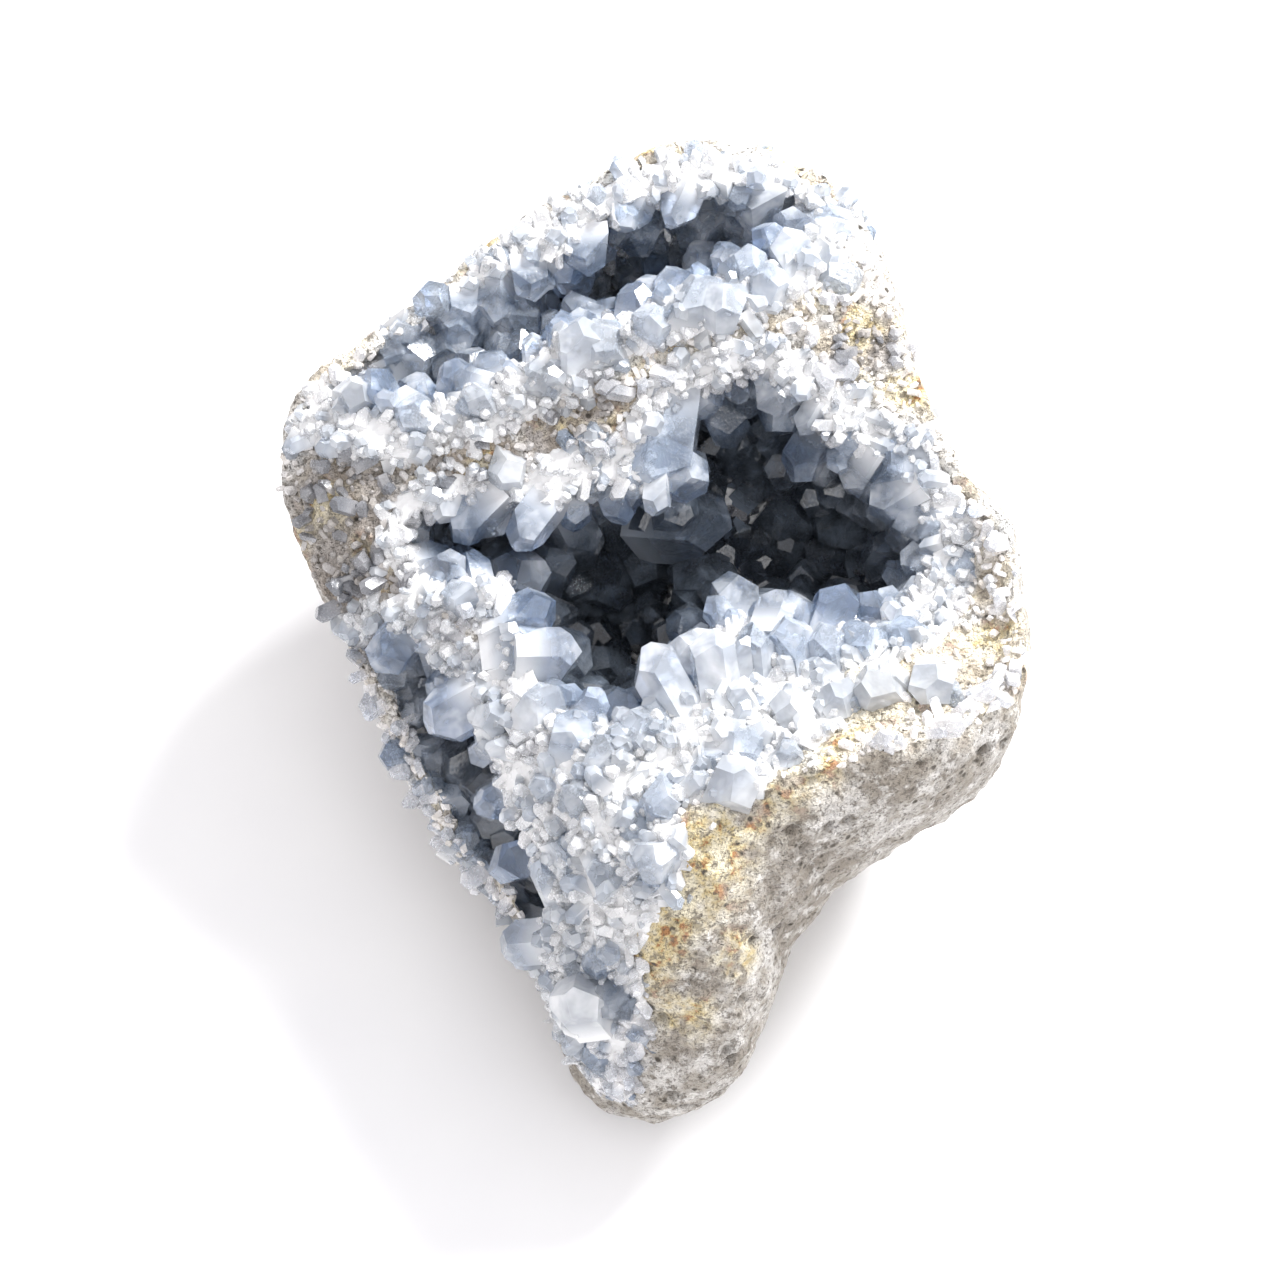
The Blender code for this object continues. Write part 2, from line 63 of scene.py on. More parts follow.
# The shapes of the solids, so that the looks follow them. All places are in mm in the face
# frame: across to the right, up the broken face and out towards the eye.
placing = {"tilt": 60.0, "drop": 52.0, "middleX": 1.21, "middleY": -5.69}
outline = [
    (61, -5, 10), (59, 9, 8), (57, 19, 4), (50, 25, 1), (47, 33, -2), (43, 46, -6),
    (38, 60, -10), (33, 71, -13), (24, 78, -15), (14, 82, -16), (2, 82, -16), (-10, 76, -16),
    (-24, 69, -15), (-37, 58, -13), (-50, 48, -11), (-60, 42, -9), (-64, 31, -7),
    (-62, 17, -7), (-54, 2, -11), (-46, -15, -15), (-38, -30, -15), (-30, -43, -13),
    (-22, -51, -9), (-19, -62, -5), (-16, -71, -3), (-10, -79, 0), (-2, -82, 4), (6, -80, 6),
    (13, -74, 8), (18, -63, 8), (21, -52, 8), (29, -42, 8), (43, -33, 8), (55, -24, 9),
]
nodule = {
    "front": 48.0, "back": 58.0, "lobeFront": 26.0, "lobeBack": 12.0, "lobeAngle": -93.0,
    "lobeSpread": 26.0, "fullness": 0.82,
}
breakKnots = [
    (-62, 40, 0), (-50, 50, -4), (-34, 62, -7), (-14, 77, -9), (6, 84, -9), (24, 80, -7),
    (35, 70, -3),
    (42, 50, 4), (48, 33, 9), (54, 20, 14), (58, 6, 20), (56, -6, 25),
    (46, -8, 31), (32, -13, 35), (14, -19, 38), (-2, -26, 38), (-16, -22, 33),
    (-52, 34, 8), (-34, 36, 12), (-14, 42, 15), (6, 50, 15), (24, 58, 11), (36, 56, 6),
    (-34, 26, 10), (-12, 30, 12), (6, 42, 12), (30, 46, 9),
    (-58, 14, 3), (-44, 8, 9), (-32, -2, 14), (-24, -12, 22),
    (-60, -2, -6), (-52, -14, -9), (-43, -28, -9), (-34, -42, -7), (-26, -52, -3),
    (-22, -62, 2), (-20, -74, 3), (-14, -34, 33), (-9, -48, 36), (-11, -62, 30), (-9, -76, 26),
    (58, -22, 52), (40, -30, 58), (22, -38, 60), (8, -56, 58), (8, -80, 56), (66, 4, 40),
]
# Hollows: centre, half sizes, turn in the face plane, thickness of the crystal round them.
mainLumps = [
    ((24, 15, 10), (22, 17, 34), 0, 7), ((14, 29, 8), (15, 14, 26), 0, 5),
    ((-7, 4, 10), (17, 21, 34), 0, 7), ((-28, 15, 6), (15, 8, 16), -5, 4),
    ((6, 12, 2), (13, 14, 13), 0, 7),
]
cleftLumps = [((-38, -17, 0), (10, 20, 7), 28, 5), ((-27, -40, 2), (9, 14, 6), 20, 6)]
upperLumps = [
    ((-31, 49, 2), (25, 9, 10), 23, 8), ((5, 65, -6), (21, 9, 11), 12, 7),
    ((-6, 59, -6), (18, 8, 23), 18, 6),
]
massiveLumps = [
    ((-9, -30, 12), (15, 22, 24), 0, 0), ((-11, -60, 8), (9, 19, 14), 0, 0),
    ((11, -14, 22), (21, 12, 20), 26, 0),
]
mouthReach = 60.0
# Large crystals: root (across, up, lift over the open surface), tip from the root, width.
mainCrystals = [
    ((2, 40, -5), (-2.5, -18.5, 2), 10), ((9, 42, -6), (4, -12, 1), 8),
    ((19, 43, -6), (1, -8, 3), 7), ((26, 42, -6), (1, -9, 2), 7),
    ((32, 38, -5), (-1, -10, 3), 7), ((38, 33, -5), (-5, -8, 3), 7),
    ((-12, 28, -5), (1, -7, 3), 7), ((-18, 26, -5), (-1, -6, 3), 6),
    ((-5, 29, -5), (1, -9, 3), 7), ((-33, 26, -4), (2, -6, 2), 5),
    ((47, 31, -6), (-13, -6, 2), 12), ((47, 20, -6), (-9, -3, 3), 8),
    ((50, 3, -7), (-16, -2, 3), 10), ((48, 11, -6), (-9, 1, 3), 7),
    ((43, -4, -6), (-8, 5, 3), 8), ((35, -6, -6), (-5, 8, 3), 7), ((28, -7, -5), (-2, 9, 3), 7),
    ((22, -7, -5), (-2, 10, 3), 8), ((16, -8, -5), (-1, 10, 4), 7), ((10, -12, -4), (-2, 13, 3), 8),
    ((4, -14, -4), (-7, 12, 3), 9), ((-1, -19, -4), (-5, 6, 4), 7), ((-8, -23, -4), (-2, 7, 5), 9),
    ((-15, -20, -4), (2, 8, 4), 8), ((-20, -15, -3), (4, 6, 6), 8), ((-26, -16, -3), (-2, 4, 6), 7),
    ((-27, 7, -3), (9, 4, 4), 9), ((-25, 21, -4), (1, -7, 2), 6), ((-25, -4, -3), (9, 2, 4), 8),
    ((-25, 1, -3), (8, 4, 3), 7), ((-41, 19, -4), (5, -3, 3), 5), ((-38, 9, -3), (6, 4, 3), 5),
    ((0, 19, 2), (13, -1, 7), 11), ((-10, 8, -1), (0, 4, 14), 12), ((-2, 11, -1), (1, 3, 12), 10),
    ((7, 7, -1), (0, 1, 11), 11), ((-9, -7, -1), (0, -2, 9), 10), ((15, 13, -1), (1, 2, 9), 9),
    ((22, 20, -1), (1, 0, 10), 10), ((29, 11, -1), (0, 2, 10), 10), ((34, 18, -1), (-3, 0, 10), 9),
    ((20, 3, -1), (0, 3, 10), 9), ((14, 31, -1), (0, -2, 10), 9),
]
cleftCrystals = [
    ((-22, -46, -2), (0, 9, 6), 10), ((-16, -43, -3), (-3, 7, 5), 7),
    ((-36, -14, -1), (2, 5, 6), 6), ((-21, -52, -2), (-1, 5, 6), 6),
    ((-30, -30, -1), (1, 4, 7), 7), ((-27, -24, -3), (-6, 2, 4), 7),
    ((-23, -34, -3), (-6, 3, 4), 7), ((-42, -22, -2), (4, 3, 6), 6),
]
upperCrystals = [
    ((-13, 44, -2), (0, 8, 5), 8), ((4, 52, -2), (6, 6, 4), 8), ((8, 74, -4), (-1, -10, 3), 10),
    ((18, 75, -4), (-3, -9, 3), 9), ((-4, 71, -3), (2, -8, 3), 8), ((30, 66, -4), (-8, 2, 4), 8),
    ((-46, 43, -2), (11, 5, 4), 10), ((-24, 43, -2), (1, 8, 4), 7), ((-36, 40, -2), (1, 7, 5), 7),
    ((-33, 57, -3), (1, -7, 3), 7), ((-22, 62, -3), (1, -7, 3), 7), ((-13, 67, -3), (1, -8, 3), 7),
    ((-43, 52, -3), (1, -6, 3), 6), ((14, 57, -3), (1, 7, 4), 7), ((22, 60, -3), (-2, 7, 4), 7),
]
mainRim = [
    (44, -9), (37, -11), (29, -12), (22, -14), (15, -18), (8, -20), (2, -26), (-5, -30),
    (-12, -28), (-18, -27), (20, -20), (12, -25), (-1, -36), (-9, -37), (-15, -35),
    (-6, -44), (-13, -44), (-9, -52), (-14, -53), (-7, -60), (-12, -62), (-9, -70),
    (50, 12), (-34, 4), (-29, -7), (-12, 31), (-24, 28),
]
# Crystals that fill the shallow ends of the upper hollow and the cleft.
upperFill = [
    ((-44, 45, -2), (2, 2, 8), 7), ((-38, 46, -2), (3, 1, 9), 8), ((-33, 50, -2), (-2, 1, 10), 8),
    ((-28, 48, -2), (3, 2, 9), 8), ((-23, 53, -2), (-2, 0, 10), 8), ((-18, 51, -2), (2, 3, 9), 8),
    ((-14, 58, -2), (-2, 2, 11), 9), ((-9, 55, -2), (2, -2, 10), 8), ((-46, 48, -2), (3, -2, 7), 6),
    ((-4, 62, -2), (-2, 3, 11), 9), ((17, 66, -2), (-2, 3, 10), 9), ((22, 69, -2), (2, 2, 8), 7),
    ((6, 69, -2), (1, -3, 10), 8),
]
cleftFill = [
    ((-46, -6, -2), (3, -1, 8), 6), ((-43, -13, -2), (4, 1, 9), 7),
    ((-38, -22, -2), (3, 2, 9), 8), ((-36, -29, -2), (4, 1, 9), 7), ((-33, -35, -2), (3, 1, 9), 7),
    ((-31, -41, -2), (3, 0, 8), 7), ((-27, -46, -2), (2, 1, 8), 6), ((-34, -12, -2), (3, 2, 9), 7),
    ((-24, -44, 0), (2, 1, 8), 7), ((-21, -48, 0), (2, 0, 7), 6), ((-30, -22, -2), (2, 1, 9), 7),
    ((-28, -33, -2), (1, 2, 8), 7), ((-39, -4, -2), (2, 2, 8), 7),
]
upperRim = [
    (-50, 37), (-42, 36), (-30, 37), (-19, 40), (-8, 46), (0, 49), (10, 54), (18, 56), (28, 60),
    (25, 74), (-27, 62),
]


def layDown(point):
    across, up, out = point
    tilt = math.radians(placing["tilt"])
    return Vector((
        across + placing["middleX"],
        up * math.sin(tilt) - out * math.cos(tilt) + placing["middleY"],
        up * math.cos(tilt) + out * math.sin(tilt) + placing["drop"],
    )) * mm


def facePoints(world):
    # World places in metres as places in the face frame in millimetres.
    tilt = math.radians(placing["tilt"])
    local = np.asarray(world) / mm - (placing["middleX"], placing["middleY"], placing["drop"])
    up = local[:, 1] * math.sin(tilt) + local[:, 2] * math.cos(tilt)
    out = -local[:, 1] * math.cos(tilt) + local[:, 2] * math.sin(tilt)
    return np.column_stack([local[:, 0], up, out])


def thinPlate(knots):
    knots = np.array(knots, float)
    places, heights = knots[:, :2], knots[:, 2]

    def bend(squared):
        return squared * np.log(squared + 1e-9)

    gaps = ((places[:, None] - places[None]) ** 2).sum(axis=2)
    flat = np.column_stack([np.ones(len(knots)), places])
    system = np.block([[bend(gaps), flat], [flat.T, np.zeros((3, 3))]])
    weights = np.linalg.solve(system, np.concatenate([heights, np.zeros(3)]))

    def height(across, up):
        spots = np.column_stack([np.ravel(across), np.ravel(up)])
        squared = ((spots[:, None] - places[None]) ** 2).sum(axis=2)
        return bend(squared) @ weights[:-3] + weights[-3] + spots @ weights[-2:]

    return height


breakHeights = thinPlate(breakKnots)


def breakHeight(across, up):
    return float(breakHeights(across, up)[0])


def girdle(angle):
    angles = [math.atan2(up, across) for across, up, _ in outline]
    radii = [math.hypot(across, up) for across, up, _ in outline]
    turn = 2 * math.pi
    out = np.interp(angle, angles, [knot[2] for knot in outline], period=turn)
    return float(np.interp(angle, angles, radii, period=turn)), float(out)


def nodulePoint(direction, grow, frontReach):
    x, y, z = direction
    flat = math.hypot(x, y)
    angle = math.atan2(y, x)
    offLobe = (math.degrees(angle) - nodule["lobeAngle"] + 180) % 360 - 180
    lobe = math.exp(-((offLobe / nodule["lobeSpread"]) ** 2)) * flat * flat
    way = ("front", "lobeFront") if z > 0 else ("back", "lobeBack")
    pole, thin = nodule[way[0]], nodule[way[1]]
    depth = pole + grow + (thin - pole) * lobe + (frontReach if z > 0 else 0)
    radius, lean = girdle(angle)
    reach = (radius + grow) * flat ** nodule["fullness"] / max(flat, 1e-6)
    out = lean * flat * flat + math.copysign(abs(z) ** nodule["fullness"], z) * depth
    point = Vector((reach * x, reach * y, out))
    large = 1.6 * noise.noise(point / 26 + Vector((3.7, 0, 0)))
    return point + direction * (large + 0.8 * noise.noise(point / 9 + Vector((0, 3.7, 0))))


def lumpPoint(lump, direction, grow):
    centre, sizes, turn, _ = lump
    wobble = 1 + 0.08 * noise.noise(Vector(direction) * 1.9 + Vector(centre) / 11)
    local = Vector([way * (size * wobble + grow) for way, size in zip(direction, sizes)])
    if direction[2] > 0:
        local.z = direction[2] * mouthReach
    local.rotate(Matrix.Rotation(math.radians(turn), 3, "Z"))
    return Vector(centre) + local


def hollowFloor(lumps, across, up):
    out = breakHeight(across, up)
    for centre, sizes, turn, _ in lumps:
        local = Vector((across - centre[0], up - centre[1]))
        local.rotate(Matrix.Rotation(-math.radians(turn), 2))
        room = 1 - (local.x / sizes[0]) ** 2 - (local.y / sizes[1]) ** 2
        if room > 0:
            out = min(out, centre[2] - sizes[2] * math.sqrt(room))
    return out


def inside(lump, point, margin):
    centre, sizes, turn, _ = lump
    local = Vector(point) - Vector(centre)
    local.rotate(Matrix.Rotation(-math.radians(turn), 3, "Z"))
    depth = mouthReach if local.z > 0 else sizes[2] - margin
    x, y = sizes[0] - margin, sizes[1] - margin
    return (local.x / x) ** 2 + (local.y / y) ** 2 + (local.z / depth) ** 2 < 1


def lumpGaps(lumps, points):
    # Rough distance in mm from the wall of the nearest hollow; below zero inside one.
    least = np.full(len(points), 1e3)
    for centre, sizes, turn, _ in lumps:
        angle = math.radians(-turn)
        x, y, z = (points - centre).T
        x, y = x * math.cos(angle) - y * math.sin(angle), x * math.sin(angle) + y * math.cos(angle)
        depth = np.where(z > 0, mouthReach, sizes[2])
        ratio = np.sqrt((x / sizes[0]) ** 2 + (y / sizes[1]) ** 2 + (z / depth) ** 2)
        slope = np.sqrt((x / sizes[0] ** 2) ** 2 + (y / sizes[1] ** 2) ** 2 + (z / depth**2) ** 2)
        least = np.minimum(least, (ratio - 1) * ratio / np.maximum(slope, 1e-6))
    return least


# Work on meshes.
def newObject(name, bm):
    mesh = bpy.data.meshes.new(name)
    bm.to_mesh(mesh)
    bm.free()
    obj = bpy.data.objects.new(name, mesh)
    scene.collection.objects.link(obj)
    return obj


def dropObject(obj):
    mesh = obj.data
    bpy.data.objects.remove(obj)
    bpy.data.meshes.remove(mesh)


def applyAll(obj):
    # Turn what an object's modifiers make into its own plain mesh.
    graph = bpy.context.evaluated_depsgraph_get()
    mesh = bpy.data.meshes.new_from_object(obj.evaluated_get(graph))
    old = obj.data
    obj.modifiers.clear()
    obj.data = mesh
    bpy.data.meshes.remove(old)
    mesh.name = obj.name


def ball(name, level, place, spin):
    turn = Matrix.Rotation(spin, 3, Vector((1, 2, 3)))
    bm = bmesh.new()
    bmesh.ops.create_icosphere(bm, subdivisions=level, radius=1)
    for vert in bm.verts:
        vert.co = layDown(place(turn @ vert.co))
    return newObject(name, bm)


def combine(obj, operation, other, solver="MANIFOLD"):
    modifier = obj.modifiers.new(operation, "BOOLEAN")
    modifier.operation = operation
    modifier.object = other
    modifier.solver = solver
    applyAll(obj)
    dropObject(other)


def frontCutter(step):
    # The space in front of the broken surface.
    columns, rows = int(160 / step), int(192 / step)
    across = np.repeat(-80 + np.arange(columns + 1)[None] * step, rows + 1, axis=0)
    up = np.repeat(-96 + np.arange(rows + 1)[:, None] * step, columns + 1, axis=1)
    out = np.clip(breakHeights(across, up), -40, 80).reshape(across.shape)
    bm = bmesh.new()
    grid = []
    for row in range(rows + 1):
        line = []
        for column in range(columns + 1):
            place = Vector((across[row, column], up[row, column], 5))
            lift = 0.9 * noise.noise(place / 5.3)
            line.append(bm.verts.new(layDown((place.x, place.y, out[row, column] + lift))))
        grid.append(line)
    for row in range(rows):
        for column in range(columns):
            bm.faces.new((
                grid[row][column], grid[row + 1][column],
                grid[row + 1][column + 1], grid[row][column + 1],
            ))
    edges = [edge for edge in bm.edges if edge.is_boundary]
    top = bmesh.ops.extrude_edge_only(bm, edges=edges)["geom"]
    middle = layDown((0, 0, 0))
    outward = (layDown((0, 0, 1)) - middle).normalized()
    for vert in top:
        if isinstance(vert, bmesh.types.BMVert):
            vert.co += outward * (110 * mm - (vert.co - middle).dot(outward))
    bmesh.ops.contextual_create(bm, geom=[e for e in bm.edges if e.is_boundary])
    bmesh.ops.triangulate(bm, faces=bm.faces[:])
    bmesh.ops.recalc_face_normals(bm, faces=bm.faces[:])
    if bm.calc_volume(signed=True) < 0:
        bmesh.ops.reverse_faces(bm, faces=bm.faces[:])
    return newObject("frontCutter", bm)


def remesh(obj, size):
    modifier = obj.modifiers.new("remesh", "REMESH")
    modifier.mode = "VOXEL"
    modifier.voxel_size = size * mm
    modifier.adaptivity = 0
    applyAll(obj)


def getPoints(mesh):
    points = np.empty(len(mesh.vertices) * 3, np.float32)
    mesh.vertices.foreach_get("co", points)
    return points.reshape(-1, 3).astype(float)


def getNormals(mesh):
    normals = np.empty(len(mesh.vertices) * 3, np.float32)
    mesh.vertex_normals.foreach_get("vector", normals)
    return normals.reshape(-1, 3).astype(float)


def setPoints(mesh, points):
    mesh.vertices.foreach_set("co", points.astype(np.float32).ravel())
    mesh.update()


def storeValue(mesh, name, values):
    attribute = mesh.attributes.new(name, "FLOAT", "POINT")
    attribute.data.foreach_set("value", np.asarray(values, np.float32))


def noiseAt(points, size, shift=0.0):
    # Smooth noise from -1 to 1 at places in mm, with bumps of about a size.
    offset = Vector((shift, -shift, shift * 0.5))
    return np.array([noise.noise(Vector(point) / size + offset) for point in points])


def facetsAt(points, size, shift=0.0):
    # Tilted flat facets of about a size in mm, as heights from about -1 to 1.
    heights = []
    for point in points:
        place = Vector(point) / size + Vector((shift, 0, -shift))
        spot = noise.voronoi(place)[1][0]
        lean = noise.noise_vector(spot * 7.3)
        heights.append((place - spot).dot(lean) * 2 + noise.noise(spot * 5.1))
    return np.array(heights)


def smoothStep(values, low, high):
    share = np.clip((values - low) / (high - low), 0, 1)
    return share * share * (3 - 2 * share)


# Single crystals. The angles are celestite's own, between its faces and its axes.
celestite = {
    "prism": 52.1, "wedge": 38.0, "dome": 50.6, "rimLengths": (6.0, 9.0), "strewnApart": 11.0,
    "strewnLengths": (6.5, 11.0), "bevel": 0.14, "flushMargin": 1.8,
}
extra = random.Random(5)


def addCrystal(bm, base, tip, width, rng, sink=0.3, place=layDown):
    # One celestite crystal from a base to a tip, as a closed body of flat faces.
    base, tip = Vector(base), Vector(tip)
    axis = tip - base
    length = axis.length
    base = base - axis * sink
    length *= 1 + sink
    axis.normalize()
    turned = axis.to_track_quat("Z", "Y").to_matrix()
    turned.rotate(Matrix.Rotation(rng.uniform(0, math.pi), 3, axis))
    box = bmesh.ops.create_cube(bm, size=2)["verts"]
    for vert in box:
        vert.co = Vector((vert.co.x * width, vert.co.y * width, (vert.co.z + 1) * length))
    pieces = set(box)
    sides = math.radians(celestite["prism"])
    planes = []
    for x, y in ((1, 1), (1, -1), (-1, 1), (-1, -1)):
        normal = Vector((x * math.sin(sides), y * math.cos(sides), 0))
        planes.append((normal * width * rng.uniform(0.40, 0.52), normal))
    for y in (1, -1):
        planes.append((Vector((0, y * width * rng.uniform(0.4, 1.0), 0)), Vector((0, y, 0))))
    wedge, dome = math.radians(celestite["wedge"]), math.radians(celestite["dome"])
    for x in (1, -1):
        normal = Vector((x * math.sin(wedge), 0, math.cos(wedge)))
        planes.append((Vector((0, 0, length * rng.uniform(0.93, 1.0))), normal))
    for y in (1, -1):
        normal = Vector((0, y * math.sin(dome), math.cos(dome)))
        planes.append((Vector((0, 0, length * rng.uniform(0.96, 1.12))), normal))
    for spot, normal in planes:
        faces = {face for vert in pieces for face in vert.link_faces}
        edges = {edge for vert in pieces for edge in vert.link_edges}
        cut = bmesh.ops.bisect_plane(
            bm, geom=list(pieces) + list(edges) + list(faces), dist=1e-5,
            plane_co=spot, plane_no=normal, clear_outer=True,
        )
        kept = {item for item in cut["geom"] if item.is_valid}
        rim = {item for item in cut["geom_cut"] if item.is_valid}
        pieces = {item for item in kept | rim if isinstance(item, bmesh.types.BMVert)}
        loose = [item for item in rim if isinstance(item, bmesh.types.BMEdge)]
        if loose:
            bmesh.ops.contextual_create(bm, geom=loose)
    tipward = bm.verts.layers.float["tipward"]
    tint = bm.verts.layers.float["tint"]
    deep = bm.verts.layers.float["deep"]
    shade = extra.random()
    # The crystal's depth sets its painted shade, or painted light out over the broken face.
    under = deepAt(base + axis * length * 0.5)
    for vert in pieces:
        vert[tipward] = vert.co.z / length
        vert[tint] = shade
        vert[deep] = under
        vert.co = place(base + turned @ vert.co)
    return pieces


def deepAt(point):
    # How deep in a hollow a place lies: 0 at the broken face, 1 far inside, below 0 out over the
    # face; it sets painted shade deep in a hollow and painted light out over the face. The shallow
    # upper hollow, which lies beyond 45 mm, stays bright, with little painted shade.
    under = breakHeight(point.x, point.y) - point.z
    if under < 3:
        return 0.25 * (under - 3)
    return float(smoothStep(under, 3, 24)) * (0.15 if point.y > 45 else 1)


def crystalMesh():
    bm = bmesh.new()
    for name in ("tipward", "tint", "deep"):
        bm.verts.layers.float.new(name)
    return bm


def strewnPlaces(lumps, rng):
    places = []
    for lump in lumps:
        centre, sizes, turn, _ = lump
        spin = Matrix.Rotation(math.radians(turn), 3, "Z")
        count = 160
        for number in range(count):
            z = -1 + 1.5 * (number + 0.5) / count
            angle = number * math.pi * (3 - math.sqrt(5)) + rng.uniform(-0.2, 0.2)
            ring = math.sqrt(1 - z * z)
            direction = Vector((ring * math.cos(angle), ring * math.sin(angle), z))
            depth = mouthReach if z > 0 else sizes[2]
            local = Vector((direction.x * sizes[0], direction.y * sizes[1], direction.z * depth))
            inward = -Vector((local.x / sizes[0] ** 2, local.y / sizes[1] ** 2, local.z / depth**2))
            point = Vector(centre) + spin @ local
            inward = (spin @ inward).normalized()
            if point.z > breakHeight(point.x, point.y) - 2:
                continue
            if any(inside(other, point, 0.5) for other in lumps if other is not lump):
                continue
            if all((point - place).length > celestite["strewnApart"] for place, _ in places):
                places.append((point, inward))
    return places


def room(point):
    # How far a place lies inside the outline of the stone, in mm.
    return girdle(math.atan2(point.y, point.x))[0] - math.hypot(point.x, point.y)


def edgeRoom(points):
    # 0 at the outline of the stone and 1 a few mm inside it.
    angles = [math.atan2(up, across) for across, up, _ in outline]
    radii = [math.hypot(across, up) for across, up, _ in outline]
    angle = np.arctan2(points[:, 1], points[:, 0])
    reach = np.interp(angle, angles, radii, period=2 * math.pi)
    return smoothStep(reach - np.hypot(points[:, 0], points[:, 1]), 0.5, 3.5)


def liftOff(base):
    # How far out a root hangs over the solids, in mm; 0 where it is rooted.
    place = layDown(base)
    near, normal, _, distance = solidTree.find_nearest(place)
    if distance < 1.5 * mm or (place - near).dot(normal) < 0:
        return 0
    hit = solidTree.ray_cast(place, layDown((0, 0, 0)) - layDown((0, 0, 1)))
    return hit[3] / mm + 2 if hit[0] else 0


def keepWithin(mesh):
    # Draw what pokes through the sides of the nodule back under its skin.
    world = getPoints(mesh)
    points = facePoints(world)
    low = breakHeights(points[:, 0], points[:, 1]) - points[:, 2] > 2.5
    for number in np.flatnonzero(low):
        place = Vector(world[number])
        near, normal, _, _ = skinTree.find_nearest(place)
        if (place - near).dot(normal) > 0:
            world[number] = near
    setPoints(mesh, world)


def addCluster(bm, base, tip, width, rng):
    # A large crystal with a few thinner ones grown alongside it.
    drop = liftOff(base)
    base, tip = base - Vector((0, 0, drop)), tip - Vector((0, 0, drop))
    back = base - (tip - base) * 0.3
    body = addCrystal(bm, base, tip, width, rng, 0.3 if room(back) > 4 + width / 3 else 0)
    if room(tip) < width / 2:
        bmesh.ops.delete(bm, geom=list(body), context="VERTS")
        return
    axis = tip - base
    side = axis.orthogonal().normalized()
    for _ in range(extra.choice((0, 1, 2, 2, 3))):
        turn = Matrix.Rotation(extra.uniform(0, 6.28), 3, axis)
        offset = turn @ side * width * extra.uniform(0.25, 0.45)
        share = extra.uniform(0.35, 0.8)
        lean = Vector([extra.uniform(-0.12, 0.12) for _ in range(3)]) * axis.length
        addCrystal(
            bm, base + offset, base + offset + axis * share + lean,
            width * extra.uniform(0.35, 0.6), extra,
        )


def grownCrystals(plan, rng):
    bm = crystalMesh()
    roots = []
    for across, up in plan["rim"]:
        root = Vector((across, up, breakHeight(across, up) - 3))
        axis = Vector((rng.uniform(-0.7, 0.7), rng.uniform(-0.7, 0.7), 1)).normalized()
        length = rng.uniform(*celestite["rimLengths"])
        addCluster(bm, root, root + axis * length, length * rng.uniform(0.7, 1.0), rng)
    for root, reach, width in plan["crystals"]:
        across, up, lift = root
        place = Vector((across, up, hollowFloor(plan["lumps"], across, up) + lift))
        addCluster(bm, place, place + Vector(reach), width, rng)
        roots.append(place + Vector(reach) * 0.3)
    for place, inward in strewnPlaces(plan["lumps"], rng):
        if any((place - other).length < celestite["strewnApart"] for other in roots):
            continue
        tilt = Vector([rng.uniform(-1, 1) for _ in range(3)]) * 0.45
        axis = (inward + tilt + Vector((0, 0, 0.25))).normalized()
        length = rng.uniform(*celestite["strewnLengths"])
        addCluster(bm, place, place + axis * length, length * rng.uniform(0.6, 0.8), rng)
    obj = newObject(plan["name"] + "_crystals", bm)
    bevel = obj.modifiers.new("bevel", "BEVEL")
    bevel.width = celestite["bevel"] * mm
    bevel.segments = 1
    bevel.limit_method = "ANGLE"
    bevel.angle_limit = math.radians(20)
    applyAll(obj)
    return obj


# Materials.
def colour(code):
    # An sRGB colour written as hex, as linear values.
    parts = [int(code[i:i + 2], 16) / 255 for i in (1, 3, 5)]
    return (*[v / 12.92 if v <= 0.04045 else ((v + 0.055) / 1.055) ** 2.4 for v in parts], 1)


def addNode(tree, kind, inputs=None, **settings):
    node = tree.nodes.new(kind)
    for name, value in settings.items():
        setattr(node, name, value)
    for key, value in (inputs or {}).items():
        if isinstance(value, bpy.types.NodeSocket):
            tree.links.new(value, node.inputs[key])
        else:
            node.inputs[key].default_value = value
    return node


def paint(tree, body, layers):
    # Colour layers over a body colour: mask, start, full, strength at full, and the colour.
    for mask, start, full, strength, tone in layers:
        amount = addNode(tree, "ShaderNodeMapRange", {
            "Value": mask, "From Min": start, "From Max": full, "To Max": strength,
        }).outputs[0]
        tone = colour(tone) if isinstance(tone, str) else tone
        body = addNode(tree, "ShaderNodeMix", {
            0: amount, 6: body, 7: tone,
        }, data_type="RGBA").outputs[2]
    return body


def startMaterial(name):
    material = bpy.data.materials.new(name)
    material.use_nodes = True
    tree = material.node_tree
    shader = tree.nodes["Principled BSDF"]
    place = addNode(tree, "ShaderNodeTexCoord").outputs["Object"]
    return material, tree, shader, place


